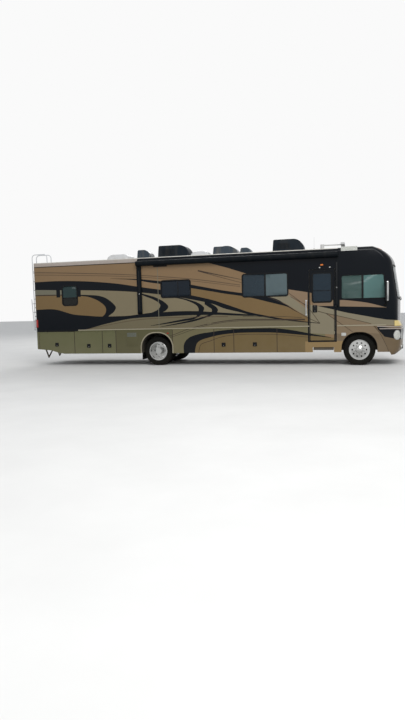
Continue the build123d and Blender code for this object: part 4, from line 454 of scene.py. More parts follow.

# %% [markdown]
# Window glass is tinted, and its tone differs from pane to pane with what stands behind it: drawn blinds
# at the middle window, open cab panes. Part of that tone is painted light: the blue of w2 is a painted
# reflection of the sky, and the cab panes are painted lighter with the daylight that shows through them
# from the windshield. Alpha lets some light through, so the cabin shows faintly.

# %% Glass
# w2's blue is a painted reflection of the sky, and the cab panes' lighter tones are painted daylight.
GLASS_ROWS = (
    # name, screen colour, alpha
    ("w1_top", (38, 56, 56), 0.93),
    ("w1_low", (22, 24, 22), 0.95),
    ("w2", (18, 28, 38), 0.93),
    ("w3_left", (40, 52, 60), 0.92),
    ("w3_right", (84, 98, 101), 0.93),
    ("cab_left", (70, 92, 88), 0.72),
    ("cab_right", (88, 122, 119), 0.72),
    ("door", (30, 43, 53), 0.93),
    ("screen", (52, 74, 76), 0.62),
    ("house", (34, 44, 50), 0.93),
)
GLASSES = {}
for name, colour, alpha in GLASS_ROWS:
    GLASSES[name] = finish("glass_" + name, tone(*colour), 0.05, specular=0.2, drift=(1.3, 0.5), alpha=alpha,
                           grain=(3.0, 0.05))
print("glasses", len(GLASSES))

# %% [markdown]
# A stage of pale floor, a bright sky for what the camera and the reflections see, and a softer one for the
# light itself. One broad lamp stands behind the camera, high up, so that the side is lit evenly.

# %% Stage floor
FLOOR_HALF = 120.0


def plane_object(name, half, height, material):
    mesh = bpy.data.meshes.new(name)
    corners = [(-half, -half, height), (half, -half, height), (half, half, height), (-half, half, height)]
    mesh.from_pydata(corners, [], [(0, 1, 2, 3)])
    mesh.materials.append(material)
    made = bpy.data.objects.new(name, mesh)
    bpy.context.scene.collection.objects.link(made)
    return made


floor_finish = finish("pale_floor", tone(226, 225, 222), 0.7, specular=0.2)
stage_floor = plane_object("stage_floor", FLOOR_HALF, 0.0, floor_finish)
print("floor", 2 * FLOOR_HALF, "m wide")

# %% Sky


def make_world():
    """White for the camera and for reflections, and a softer grey sky for light."""
    world = bpy.data.worlds.new("studio")
    bpy.context.scene.world = world
    world.use_nodes = True
    tree = world.node_tree
    soft = tree.nodes["Background"]
    soft.inputs["Color"].default_value = tone(236, 240, 246)
    soft.inputs["Strength"].default_value = 0.62
    bright = tree.nodes.new("ShaderNodeBackground")
    bright.inputs["Color"].default_value = tone(250, 250, 250)
    bright.inputs["Strength"].default_value = 1.0
    rays = tree.nodes.new("ShaderNodeLightPath")
    seen = maths(tree, "ADD", rays.outputs["Is Camera Ray"], rays.outputs["Is Transmission Ray"], clamp=True)
    seen = maths(tree, "ADD", seen, rays.outputs["Is Glossy Ray"], clamp=True)
    blend = tree.nodes.new("ShaderNodeMixShader")
    tree.links.new(seen, blend.inputs[0])
    tree.links.new(soft.outputs[0], blend.inputs[1])
    tree.links.new(bright.outputs[0], blend.inputs[2])
    tree.links.new(blend.outputs[0], tree.nodes["World Output"].inputs["Surface"])


make_world()
print("sky ready")

# %% Lamps


def soft_lamp(name, place, target, size, power):
    lamp = bpy.data.lights.new(name, "AREA")
    lamp.shape = "DISK"
    lamp.size = size
    lamp.energy = power
    made = bpy.data.objects.new(name, lamp)
    made.location = place
    made.rotation_euler = (Vector(target) - Vector(place)).to_track_quat("-Z", "Y").to_euler()
    bpy.context.scene.collection.objects.link(made)


soft_lamp("key", (10.0, -20.0, 16.0), (0, 0, 1.5), 14.0, 3400.0)
soft_lamp("rim", (-4.0, 22.0, 18.0), (0, 0, 1.5), 12.0, 2200.0)
print("two lamps placed")

# %% [markdown]
# Pieces are built from a few mesh makers: a bevelled box, a turned profile, a tube along a path and a flat
# frame. All but the box are rings of points that one helper joins with faces. A piece is finished by one
# function that shades it, rides it on its body and hides the CAD nodes it replaces.

# %% Finish a piece


def shades(*names):
    return [SHADES[name] for name in names]


def place_piece(name, bm, materials, body, nodes=(), crease=32.0):
    """Makes a piece after turning all its faces outwards."""
    bmesh.ops.recalc_face_normals(bm, faces=bm.faces)
    return finish_piece(name, bm, materials, body, nodes, crease)


def finish_piece(name, bm, materials, body, nodes, crease):
    """Turns a bmesh into an object that rides on a CAD body."""
    mesh = bpy.data.meshes.new(name)
    bm.to_mesh(mesh)
    bm.free()
    for material in materials:
        mesh.materials.append(material)
    mesh.polygons.foreach_set("use_smooth", [True] * len(mesh.polygons))
    mesh.set_sharp_from_angle(angle=math.radians(crease))
    made = bpy.data.objects.new(name, mesh)
    bpy.context.scene.collection.objects.link(made)
    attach(made, body)
    if nodes:
        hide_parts(*nodes)
    print("made", name, "with", len(mesh.polygons), "faces")
    return made


print("finishing helpers ready")

# %% Boxes, turned shapes and tubes


def add_box(bm, corner, opposite, bevel, paint=0):
    """A box between two opposite corners, with bevelled edges."""
    low, high = [Vector([pick(pair) for pair in zip(corner, opposite)]) for pick in (min, max)]
    place = Matrix.Translation((low + high) / 2) @ Matrix.Diagonal((*(high - low), 1))
    before = set(bm.faces)
    verts = bmesh.ops.create_cube(bm, size=1.0, matrix=place)["verts"]
    edges = list(dict.fromkeys(edge for vert in verts for edge in vert.link_edges))
    bmesh.ops.bevel(bm, geom=edges, offset=bevel, segments=2, affect="EDGES", profile=0.6)
    for face in set(bm.faces) - before:
        face.material_index = paint


def circle(steps):
    """Cosine and sine at even steps round one turn."""
    turns = [2 * math.pi * step / steps for step in range(steps)]
    return [(math.cos(turn), math.sin(turn)) for turn in turns]


def join_rings(bm, rings, paint=0):
    """Quads between neighbouring rings of points, each of which closes on itself."""
    for lower, upper in zip(rings, rings[1:]):
        for step in range(len(lower)):
            after = (step + 1) % len(lower)
            face = bm.faces.new((lower[step], lower[after], upper[after], upper[step]))
            face.material_index = paint


def close_ends(bm, rings, paint=0):
    for ring in (rings[0], rings[-1]):
        bm.faces.new(ring).material_index = paint


def add_lathe(bm, profile, place, segments, paint=0, closed=False):
    """Turns (radius, height) points about the local Z axis. place puts that axis in the vehicle."""
    rings = [[bm.verts.new(place @ Vector((radius * c, radius * s, height))) for c, s in circle(segments)]
             for radius, height in profile]
    if closed:
        join_rings(bm, rings + rings[:1], paint)
    else:
        join_rings(bm, rings, paint)
        close_ends(bm, rings, paint)


def add_tube(bm, path, radius, sides, paint=0):
    """A round tube through the points of a path, mitred at its corners."""
    points = [Vector(point) for point in path]
    rings = []
    for index, point in enumerate(points):
        along = (points[min(index + 1, len(points) - 1)] - points[max(index - 1, 0)]).normalized()
        upright = Vector((0, 0, 1)) if abs(along.z) < 0.9 else Vector((0, 1, 0))
        side = along.cross(upright).normalized()
        up = side.cross(along)
        rings.append([bm.verts.new(point + radius * (side * c + up * s)) for c, s in circle(sides)])
    join_rings(bm, rings, paint)
    close_ends(bm, rings, paint)


print("mesh makers ready")

# %% Flat frames


def rounded(x0, x1, z0, z1, corner, steps=6):
    """The outline of a rectangle with round corners."""
    points = []
    for cx, cz, start in ((x1 - corner, z1 - corner, 0), (x0 + corner, z1 - corner, 1),
                          (x0 + corner, z0 + corner, 2), (x1 - corner, z0 + corner, 3)):
        for step in range(steps + 1):
            turn = math.pi / 2 * (start + step / steps)
            points.append((cx + corner * math.cos(turn), cz + corner * math.sin(turn)))
    return points


def add_ring(bm, outer, inner, near, far, on_end=False):
    """A flat frame between two outlines of as many points, pushed along Y, or along X on an end."""
    loops = [[bm.verts.new((at, across, z) if on_end else (across, at, z)) for across, z in line]
             for line, at in ((outer, near), (inner, near), (inner, far), (outer, far))]
    join_rings(bm, loops + loops[:1])


def grown_box(box, by):
    x0, x1, z0, z1 = box
    return x0 - by, x1 + by, z0 - by, z1 + by


def add_frame(bm, box, rim, corners, near, far):
    """A frame with round corners. box is its outer edge, and corners are the outer and the inner radius."""
    add_ring(bm, rounded(*box, corners[0]), rounded(*grown_box(box, -rim), corners[1]), near, far)


print("frame helpers ready")

# %% [markdown]
# The paint scheme is a set of areas drawn on the side of the body: long black bands that sweep forward,
# crescents that branch off them, and thin lines. Each is bounded by smooth curves through a few points,
# in metres ahead of the front axle and above the ground. The left side wears the same scheme mirrored.

# %% Curve helpers
CURVE_STEPS = 6


def curve(points):
    """A smooth line through a few points."""
    padded = [points[0], *points, points[-1]]
    line = []
    for before, start, end, after in zip(padded, padded[1:], padded[2:], padded[3:]):
        for step in range(CURVE_STEPS):
            t = step / CURVE_STEPS
            line.append(tuple(0.5 * (2 * q + (r - p) * t + (2 * p - 5 * q + 4 * r - s) * t * t
                                     + (3 * q - p - 3 * r + s) * t ** 3)
                              for p, q, r, s in zip(before, start, end, after)))
    line.append(points[-1])
    return line


def band(upper, lower):
    """The area between two smooth lines that run the same way."""
    return curve(upper) + curve(lower)[::-1]


def ribbon(points, start_width, end_width):
    """A line of changing width along a smooth path."""
    path = curve(points)
    left, right = [], []
    for index, (x, z) in enumerate(path):
        ahead = path[min(index + 1, len(path) - 1)]
        behind = path[max(index - 1, 0)]
        dx, dz = ahead[0] - behind[0], ahead[1] - behind[1]
        length = math.hypot(dx, dz)
        half = (start_width + (end_width - start_width) * index / (len(path) - 1)) / 2
        left.append((x - dz / length * half, z + dx / length * half))
        right.append((x + dz / length * half, z - dx / length * half))
    return left + right[::-1]


print("curve helpers ready")

# %% Curves of the stripes
BACK = -12.2
AHEAD = 2.8
LONG_TOP = [(BACK, 2.877), (-10.82, 2.877), (-9.94, 2.885), (-9.125, 2.855), (-8.42, 2.80), (-7.725, 2.72),
            (-7.13, 2.62), (-6.63, 2.535), (-6.19, 2.465), (-5.5, 2.33), (-4.57, 2.11), (-4.10, 1.955),
            (-3.64, 1.79), (-3.33, 1.68), (-2.8, 1.56), (-2.13, 1.43), (-1.16, 1.296)]
LONG_LOW = [(BACK, 2.61), (-10.83, 2.61), (-9.95, 2.58), (-9.14, 2.55), (-8.43, 2.52), (-7.735, 2.48),
            (-7.14, 2.43), (-6.63, 2.37), (-6.20, 2.31), (-5.5, 2.19), (-4.57, 1.99), (-4.105, 1.81),
            (-3.64, 1.69), (-3.33, 1.605), (-2.915, 1.525), (-2.13, 1.39), (-1.16, 1.28)]
BELT_TOP = [(BACK, 1.93), (-10.85, 1.93), (-10.06, 1.93), (-9.39, 1.75), (-8.86, 1.69), (-8.33, 1.65),
            (-7.47, 1.65), (-7.10, 1.68), (-6.60, 1.73), (-6.14, 1.745), (-5.65, 1.76), (-5.01, 1.75),
            (-4.38, 1.70), (-3.80, 1.65), (-3.30, 1.605), (-2.95, 1.567)]
BELT_LOW = [(BACK, 1.17), (-10.03, 1.164), (-9.39, 1.163), (-9.025, 1.207), (-8.66, 1.287), (-8.22, 1.393),
            (-7.56, 1.52), (-7.08, 1.575), (-6.3, 1.60), (-5.3, 1.625), (-4.345, 1.617), (-3.80, 1.585),
            (-3.30, 1.563), (-2.95, 1.562)]
FIRST_OUT = [(-9.06, 2.395), (-8.79, 2.38), (-8.44, 2.35), (-8.18, 2.275), (-7.97, 2.14), (-7.80, 1.955),
             (-7.87, 1.80), (-8.01, 1.70), (-8.15, 1.60)]
FIRST_IN = [(-9.06, 2.354), (-8.79, 2.32), (-8.53, 2.23), (-8.32, 2.11), (-8.19, 1.99), (-8.15, 1.87),
            (-8.19, 1.74), (-8.29, 1.65), (-8.42, 1.58)]
SECOND = ([(-6.99, 2.40), (-6.72, 2.33), (-6.43, 2.24), (-6.18, 2.12), (-6.02, 2.0), (-5.97, 1.91),
           (-6.05, 1.80), (-6.26, 1.70)],
          [(-6.99, 2.38), (-6.72, 2.26), (-6.47, 2.16), (-6.29, 2.05), (-6.24, 1.95), (-6.32, 1.84),
           (-6.51, 1.75), (-6.8, 1.68)])
THIRD = ([(-5.98, 2.28), (-5.52, 2.187), (-5.16, 2.09), (-4.94, 2.0), (-4.805, 1.90), (-4.77, 1.82),
          (-4.82, 1.70)],
         [(-5.98, 2.24), (-5.52, 2.15), (-5.24, 2.055), (-5.04, 1.95), (-4.96, 1.84), (-4.97, 1.74),
          (-5.08, 1.70)])
FOURTH = ([(-4.75, 2.05), (-4.57, 1.99), (-4.46, 1.93), (-4.36, 1.85), (-4.32, 1.76), (-4.38, 1.65)],
          [(-4.75, 1.96), (-4.62, 1.87), (-4.53, 1.81), (-4.52, 1.74), (-4.56, 1.68), (-4.66, 1.65)])
UPPER_TOP = [(-5.25, 2.61), (-4.56, 2.464), (-4.09, 2.37), (-3.53, 2.278), (-3.1, 2.21), (-2.75, 2.15),
             (-2.42, 2.04), (-2.2, 1.90), (-1.98, 1.75), (-1.54, 1.49)]
UPPER_LOW = [(-5.25, 2.50), (-4.56, 2.37), (-4.09, 2.277), (-3.53, 2.184), (-3.1, 2.085), (-2.72, 1.98),
             (-2.42, 1.90), (-2.12, 1.81), (-1.90, 1.68), (-1.54, 1.487)]
SWOOSH_OUT = [(-5.485, 0.30), (-5.485, 0.43), (-5.48, 0.665), (-5.38, 0.84), (-5.19, 0.955), (-4.87, 1.036),
              (-4.6, 1.07), (-4.2, 1.12), (-3.61, 1.163), (-2.845, 1.169), (-2.43, 1.155), (-1.91, 1.08),
              (-1.43, 0.98), (-0.82, 0.86)]
SWOOSH_IN = [(-5.11, 0.30), (-5.11, 0.43), (-5.09, 0.58), (-5.02, 0.74), (-4.87, 0.834), (-4.6, 0.91),
             (-4.2, 0.99), (-3.61, 1.037), (-2.85, 1.038), (-2.43, 1.02), (-1.91, 0.968), (-1.43, 0.917),
             (-0.82, 0.85)]
WEDGE_LOW = [(-1.21, 1.81), (-0.76, 1.70), (-0.39, 1.60), (0.24, 1.47), (0.58, 1.40), (1.03, 1.347),
             (AHEAD, 1.30)]
PAINT_SEAM_Z = BELT_Z + 0.004
FLOOR_LINE = 0.2
print("stripe curves ready")

# %% [markdown]
# The areas are rows of a table: the paint, the outline and the side that wears it. Later rows lie over
# earlier ones, as masks do in a spray booth: first the broad grounds, then the black bands, then the thin
# lines. A row with no side is worn by both. Where the right side has its entry door, the left side's areas
# run on without a break.

# %% Broad grounds, painted first
DARK = "black"
# Many grounds lay a lighter or darker tone of the same paint on a panel: painted light and shade.
GROUNDS = [
    ("tan_side", [(BACK, 2.42), (-9.06, 2.40)] + curve(FIRST_IN) + [(-8.45, 1.55), (BACK, 1.55)]),
    ("stone", [(BACK, 2.66), (-8.9, 2.60), (-8.9, 2.41), (BACK, 2.42)]),
    ("olive", curve(LONG_LOW[3:14]) + curve(BELT_TOP[5:])[::-1] + curve(FIRST_OUT)[::-1]),
    ("tan_side", [(-5.3, 2.60)] + curve(UPPER_LOW[1:]) + [(-1.16, 1.29)] + curve(LONG_TOP[8:])[::-1]),
    ("grey_olive", curve(BELT_LOW) + [(-2.915, 1.525), (-2.13, 1.39), (-1.16, 1.285), (-1.16, FLOOR_LINE),
                                      (-9.0, FLOOR_LINE), (-9.39, BELT_Z)]),
    ("olive_low", [(BACK, PAINT_SEAM_Z), (-1.0, PAINT_SEAM_Z), (-1.0, FLOOR_LINE), (BACK, FLOOR_LINE)]),
    ("skirt_rear", [(BACK, PAINT_SEAM_Z), (-7.84, PAINT_SEAM_Z), (-7.84, FLOOR_LINE), (BACK, FLOOR_LINE)]),
    ("skirt_mid", [(-7.84, PAINT_SEAM_Z), (-5.86, PAINT_SEAM_Z), (-5.86, FLOOR_LINE), (-7.84, FLOOR_LINE)]),
    ("pale_olive", [(-1.49, 1.86), (-1.2, 1.82)] + curve(WEDGE_LOW)
     + [(AHEAD, BELT_Z), (-0.2, BELT_Z), (-0.2, 0.9), (-1.49, 1.0)], "right"),
    ("pale_olive", [(-1.52, 1.73), (-1.21, 1.815)] + curve(WEDGE_LOW)
     + [(AHEAD, BELT_Z), (-0.2, BELT_Z), (-0.2, 0.9), (-0.8, 0.9), (-1.16, 1.29), (-1.32, 1.51)], "left"),
    ("grey_olive", [(-1.20, 1.30), (-1.16, 1.29), (-0.70, 1.02), (-0.70, 0.8), (-1.20, 0.8)], "left"),
    ("tan_low", curve(SWOOSH_IN) + [(-0.70, 0.85), (-0.70, FLOOR_LINE), (-5.11, FLOOR_LINE)]),
    ("brown", [(-0.99, 1.59), (-0.46, 1.464), (0.34, 1.253), (0.42, BELT_Z), (AHEAD, BELT_Z),
               (AHEAD, FLOOR_LINE), (-0.5, FLOOR_LINE), (-0.5, 0.76), (-0.70, 0.86), (-0.70, 1.40)]),
    ("fender", [(-0.72, 0.98), (-0.3, 0.92), (0.2, 0.98), (0.7, 0.94), (0.9, FLOOR_LINE),
                (-0.72, FLOOR_LINE)]),
    ("tan_door", [(-1.60, 0.745), (-0.40, 0.745), (-0.40, FLOOR_LINE), (-1.60, FLOOR_LINE)], "right"),
    ("bumper", [(0.41, 1.187), (0.584, 0.969), (0.687, 0.77), (0.79, 0.553), (0.858, FLOOR_LINE),
                (AHEAD, FLOOR_LINE), (AHEAD, 1.187)]),
    (DARK, [(-5.60, 3.42), (-4.60, 3.26), (-3.96, 3.07), (-3.385, 2.87), (-2.8, 2.63), (-2.10, 2.345),
            (-1.476, 2.23), (-1.36, 2.20), (-1.36, 1.83), (-1.21, 1.81)] + curve(WEDGE_LOW)
     + [(AHEAD, 3.9), (-5.60, 3.9)]),
    ("spear", [(-2.10, 2.345), (-1.476, 2.23), (-1.48, 1.70), (-1.75, 1.95), (-2.08, 2.16)]),
    ("spear", [(-1.50, 2.235), (-1.0, 2.11), (-0.565, 1.975), (-0.40, 1.963), (-0.40, 1.785),
               (-0.757, 1.80), (-1.21, 1.815), (-1.52, 1.73)], "left"),
    ("pale_olive", [(-2.80, 2.17), (-2.08, 2.17), (-1.83, 1.97), (-1.54, 1.74), (-1.32, 1.51),
                    (-1.16, 1.29), (-1.54, 1.50), (-1.90, 1.73), (-2.2, 1.92)]),
]
print("grounds", len(GROUNDS))

# %% Bands
BANDS = [
    (DARK, band(LONG_TOP, LONG_LOW)),
    (DARK, band(BELT_TOP, BELT_LOW)),
    (DARK, band(FIRST_OUT, FIRST_IN)),
    (DARK, band(*SECOND)),
    (DARK, band(*THIRD)),
    (DARK, band(*FOURTH)),
    (DARK, band(UPPER_TOP, UPPER_LOW)),
    (DARK, band([(-7.95, 2.90), (-7.63, 2.882), (-7.08, 2.85), (-6.62, 2.80), (-6.1, 2.73), (-5.25, 2.61)],
                [(-7.95, 2.895), (-7.63, 2.867), (-7.08, 2.814), (-6.62, 2.723), (-6.1, 2.64),
                 (-5.25, 2.50)])),
    (DARK, band([(-4.97, 1.67), (-5.10, 1.56), (-5.46, 1.506), (-6.08, 1.40), (-6.59, 1.315)],
                [(-4.80, 1.67), (-5.10, 1.50), (-5.46, 1.44), (-6.08, 1.36), (-6.59, 1.305)])),
    (DARK, band([(-4.60, 1.63), (-5.06, 1.50), (-5.67, 1.38), (-6.25, 1.275)],
                [(-4.44, 1.63), (-5.06, 1.44), (-5.67, 1.34), (-6.25, 1.265)])),
    (DARK, band(SWOOSH_OUT, SWOOSH_IN)),
    ("spear", [(-1.352, 2.01), (-0.757, 1.985), (-0.757, 1.80), (-1.352, 1.82)], "right"),
    ("spear", curve([(-0.565, 1.974), (-0.35, 1.96), (0.24, 1.87), (0.79, 1.715)])
     + curve([(0.79, 1.715), (0.24, 1.75), (-0.566, 1.786)])),
    (DARK, [(0.497, 1.186), (0.532, 1.077), (0.72, 0.86), (0.994, 0.80), (1.128, 0.77), (AHEAD, 0.77),
            (AHEAD, 1.068), (1.128, 1.068)]),
    ("cream", [(0.497, 1.18), (1.027, 1.16), (AHEAD, 1.16), (AHEAD, 1.135), (1.027, 1.135), (0.51, 1.155)]),
    ("cream", [(0.56, 1.107), (1.155, 1.107), (AHEAD, 1.107), (AHEAD, 1.082), (1.155, 1.082),
               (0.59, 1.084)]),
    ("cream", [(BACK, 3.39), (-7.0, 3.39), (-7.0, 3.9), (BACK, 3.9)]),
    (DARK, [(-7.0, 3.39), (-4.6, 3.39), (-4.6, 3.9), (-7.0, 3.9)]),
]
print("bands", len(BANDS))

# %% Thin lines, and all areas together
LINE_ROWS = (
    # paint, width at the start, width at the end, path
    ("line", 0.036, 0.036, [(BACK, 2.42), (-10.86, 2.42), (-9.94, 2.41), (-9.05, 2.40)]),
    ("pinstripe", 0.026, 0.02, [(BACK, 3.20), (-10.81, 3.20), (-9.05, 3.11), (-7.25, 2.99), (-5.21, 2.78),
                                (-3.59, 2.53)]),
    ("pinstripe", 0.018, 0.014, [(BACK, 3.12), (-10.81, 3.12), (-9.05, 3.04), (-7.25, 2.93), (-5.21, 2.72),
                                 (-3.59, 2.48)]),
    ("line", 0.04, 0.012, [(-4.95, 3.03), (-4.2, 2.85), (-3.55, 2.70)]),
    ("line", 0.02, 0.012, [(-4.95, 3.02), (-4.2, 2.79), (-3.55, 2.60)]),
    ("pinstripe", 0.012, 0.02, [(-9.0, 1.215), (-8.31, 1.33), (-7.17, 1.50), (-5.98, 1.56), (-4.0, 1.56)]),
    ("line", 0.014, 0.03, [(-6.06, 0.93), (-5.72, 1.04), (-5.35, 1.17), (-4.98, 1.263), (-4.59, 1.345),
                           (-4.07, 1.42), (-3.53, 1.454), (-2.6, 1.44), (-1.6, 1.42)]),
    ("line", 0.012, 0.016, [(-6.0, 0.90), (-5.6, 1.02), (-4.98, 1.215), (-4.4, 1.34), (-3.53, 1.415),
                            (-1.6, 1.395)]),
    ("line", 0.014, 0.014, [(-3.53, 1.55), (-3.0, 1.53), (-2.3, 1.52), (-1.7, 1.47)]),
    ("line", 0.016, 0.016, [(-2.79, 2.16), (-2.2, 1.90), (-1.9, 1.70), (-1.54, 1.48), (-1.16, 1.29)]),
    ("line", 0.016, 0.016, [(-2.07, 2.22), (-1.75, 1.97), (-1.48, 1.74), (-1.15, 1.285)]),
    ("line", 0.014, 0.014, [(-2.03, 2.12), (-1.7, 1.93), (-1.48, 1.81)]),
    ("line", 0.018, 0.014, [(-4.985, 0.41), (-4.96, 0.56), (-4.88, 0.70), (-4.60, 0.79), (-4.2, 0.92),
                            (-3.6, 0.984), (-2.47, 0.968), (-1.47, 0.87)]),
    ("line", 0.02, 0.014, [(-1.21, 1.656), (-0.96, 1.584), (-0.46, 1.464), (0.34, 1.253)]),
    ("line", 0.018, 0.014, [(-0.96, 1.577), (-0.674, 1.37), (-0.198, 1.017)]),
    ("line", 0.016, 0.012, [(0.41, 1.187), (0.584, 0.969), (0.687, 0.77), (0.79, 0.553), (0.858, 0.355)]),
    ("line", 0.03, 0.03, [(BACK, 3.375), (-10.83, 3.375), (-7.0, 3.375)]),
    ("stone", 0.02, 0.02, [(-6.302, 3.22), (-6.302, 2.5), (-6.302, 1.22)]),
)
AREAS = [(*row, "both")[:3] for row in GROUNDS + BANDS]
AREAS += [(name, ribbon(path, start, end), "both") for name, start, end, path in LINE_ROWS]
print("areas", len(AREAS))

# %% [markdown]
# Panel gaps are only a few millimetres wide, and the shade in them makes them look wider than they are. So
# each gap gets a dark painted edge on both sides of it, a painted shade. The entry door has a broad black
# frame.

# %% Seams of the doors, and the pads by the rear window
# The rows in the paint line are painted shade along the gaps of the storage doors and panels.
SEAM_ROWS = (
    # side, paint, width, bottom, top, places ahead of the front axle
    ("right", "line", 0.02, 0.30, 1.17, (-10.69, -9.354, -8.329, -7.837, -5.856, -4.472, -3.828, -2.462)),
    ("left", "line", 0.02, 0.30, 1.17, (-10.69, -9.30, -5.856, -4.472, -2.962)),
    ("right", DARK, 0.05, 0.72, 2.93, (-1.488, -0.683)),
)
BLOCK_ROWS = (
    # side, x0, x1, z0, z1: foot and head of the door's frame, then the pads
    ("right", -1.51, -0.66, 0.72, 0.765),
    ("right", -1.51, -0.66, 2.91, 2.955),
    ("both", -9.96, -9.82, 2.33, 2.62),
    ("both", -9.19, -9.05, 2.33, 2.62),
)


def box_outline(x0, x1, z0, z1):
    return [(x0, z0), (x1, z0), (x1, z1), (x0, z1)]


for side, paint, width, bottom, top, places in SEAM_ROWS:
    for x in places:
        AREAS.append((paint, box_outline(x - width / 2, x + width / 2, bottom, top), side))
for side, *edges in BLOCK_ROWS:
    AREAS.append((DARK, box_outline(*edges), side))
AREAS = [(name, [(x + FRONT_AXLE, z) for x, z in outline], side) for name, outline, side in AREAS]
print("painted areas", len(AREAS))

# %% [markdown]
# To paint a node, its mesh is copied and every outward face is cut along the edges of the areas, so a
# stripe is real geometry with its own material and stays sharp at any distance. A face is cut in a flat
# drawing of the side. Past a rear or front corner that drawing runs on round the corner.

# %% Find the areas near a face
UPWARD = 0.75
SMALL_FACE = 0.02
EDGE_ON = 0.02
MERGE = 1e-5
CUT_MERGE = 1e-6


def unrolled(point):
    """A point of the body in the flat drawing of its side."""
    past = max(HALF_WIDTH - abs(point.y), 0.0)
    return (point.x - past if point.x < 0 else point.x + past, point.z)


def inside(point, outline):
    """Whether a point lies in an outline, by counting the edges to one side of it."""
    x, z = point
    hit = False
    for (x0, z0), (x1, z1) in zip(outline, outline[1:] + outline[:1]):
        if (z0 > z) != (z1 > z) and x < (x1 - x0) * (z - z0) / (z1 - z0) + x0:
            hit = not hit
    return hit


def box_of(outline):
    xs = [x for x, z in outline]
    zs = [z for x, z in outline]
    return min(xs), max(xs), min(zs), max(zs)


AREA_BOXES = [box_of(outline) for name, outline, side in AREAS]


def paint_at(point, near, base):
    """The last area that holds a point gives its paint."""
    found = base
    for index in near:
        if inside(point, AREAS[index][1]):
            found = AREAS[index][0]
    return found


def areas_near(flat, side):
    x0, x1, z0, z1 = box_of(flat)
    return [index for index, (a0, a1, c0, c1) in enumerate(AREA_BOXES)
            if AREAS[index][2] in ("both", side) and a0 < x1 and a1 > x0 and c0 < z1 and c1 > z0]


def edges_near(near, x0, x1, z0, z1):
    """The edges of the areas that come near a flat box."""
    found = []
    for index in near:
        outline = AREAS[index][1]
        for start, end in zip(outline, outline[1:] + outline[:1]):
            if min(start[0], end[0]) < x1 and max(start[0], end[0]) > x0:
                if min(start[1], end[1]) < z1 and max(start[1], end[1]) > z0:
                    found.append((start, end))
    return found


print("area boxes", len(AREA_BOXES))

# %% Cut a face along the areas


def cut_face(corners, base):
    """Splits one triangle along the areas. Gives (corners, paint) pairs in 3-D."""
    flat = [unrolled(corner) for corner in corners]
    near = areas_near(flat, "right" if sum(corner.y for corner in corners) < 0 else "left")
    (ax, az), (bx, bz), (cx, cz) = flat
    spread = (bx - ax) * (cz - az) - (cx - ax) * (bz - az)
    true_spread = (corners[1] - corners[0]).cross(corners[2] - corners[0]).length
    x0, x1, z0, z1 = box_of(flat)
    lines = edges_near(near, x0, x1, z0, z1)
    if not lines or abs(spread) < EDGE_ON * true_spread or max(x1 - x0, z1 - z0) < SMALL_FACE:
        middle = tuple(sum(values) / 3 for values in zip(*flat))
        return [(corners, paint_at(middle, near, base))]
    points = [Vector(point) for point in flat]
    edges = [(0, 1), (1, 2), (2, 0)]
    for line in lines:
        edges.append((len(points), len(points) + 1))
        points.extend(Vector(point) for point in line)
    found, _, pieces, *_ = delaunay_2d_cdt(points, edges, [], 0, CUT_MERGE)
    shares = []
    for p in found:
        u = ((p.x - ax) * (cz - az) - (cx - ax) * (p.y - az)) / spread
        v = ((bx - ax) * (p.y - az) - (p.x - ax) * (bz - az)) / spread
        shares.append((u, v))
    result = []
    for piece in pieces:
        u = sum(shares[index][0] for index in piece) / 3
        v = sum(shares[index][1] for index in piece) / 3
        if min(u, v, 1 - u - v) <= 0:
            continue
        solid = [corners[0] + (corners[1] - corners[0]) * shares[index][0]
                 + (corners[2] - corners[0]) * shares[index][1] for index in piece]
        at = (ax + (bx - ax) * u + (cx - ax) * v, az + (bz - az) * u + (cz - az) * v)
        if spread < 0:
            solid.reverse()
        result.append((solid, paint_at(at, near, base)))
    return result


print("face cutter ready")

# %% Paint a node
CABIN_BACK = -5.5
CABIN_FRONT = 4.3
CABIN_HEART_Z = 2.2
CHASSIS_HEART_Z = 0.9
MIDDLE_CUT = ((0, 0, 0), (0, 1, 0))
PAINTED_CREASE = 26.0


def is_outward(centre, normal):
    """Whether a face looks away from the middle of the cabin, or from the chassis below the belt."""
    heart_z = CABIN_HEART_Z if centre.z > BELT_Z else CHASSIS_HEART_Z
    heart = Vector((min(max(centre.x, CABIN_BACK), CABIN_FRONT), 0.0, heart_z))
    return normal.dot(centre - heart) > 0


def copy_of(node, cuts):
    """A CAD node's mesh, cut by planes that are given as (place, axis)."""
    bm = bmesh.new()
    bm.from_mesh(frame["nodes"][node].data)
    bmesh.ops.remove_doubles(bm, verts=bm.verts, dist=MERGE)
    for place, axis in cuts:
        everything = list(bm.verts) + list(bm.edges) + list(bm.faces)
        bmesh.ops.bisect_plane(bm, geom=everything, plane_co=place, plane_no=axis, dist=MERGE)
    return bm


def paint_node(node, body, base, inner="lining", top=None):
    """A painted copy of a CAD node. top is the paint of the faces that look up."""
    bm = copy_of(node, (MIDDLE_CUT,))
    bmesh.ops.triangulate(bm, faces=bm.faces)
    bm.normal_update()
    out = bmesh.new()
    shared = {}
    used = []

    def corner(point):
        key = (round(point.x, 5), round(point.y, 5), round(point.z, 5))
        if key not in shared:
            shared[key] = out.verts.new(point)
        return shared[key]

    for face in bm.faces:
        corners = [vert.co.copy() for vert in face.verts]
        if top and face.normal.z > UPWARD:
            parts = [(corners, top)]
        elif is_outward(face.calc_center_median(), face.normal):
            parts = cut_face(corners, base)
        else:
            parts = [(corners, inner)]
        for solid, paint in parts:
            verts = [corner(point) for point in solid]
            if len(set(verts)) < 3 or out.faces.get(verts):
                continue
            if paint not in used:
                used.append(paint)
            out.faces.new(verts).material_index = used.index(paint)
    bm.free()
    out.normal_update()
    finish_piece(node + "_painted", out, [PAINTS[name] for name in used], body, (node,),
                 PAINTED_CREASE)


print("painter ready")

# %% [markdown]
# Each body panel is painted in turn. Above the belt the ground colour is tan. Below it olive turns to tan
# ahead of the lower swoosh. What faces the cabin gets a plain lining, and the skirts' backs stay black.

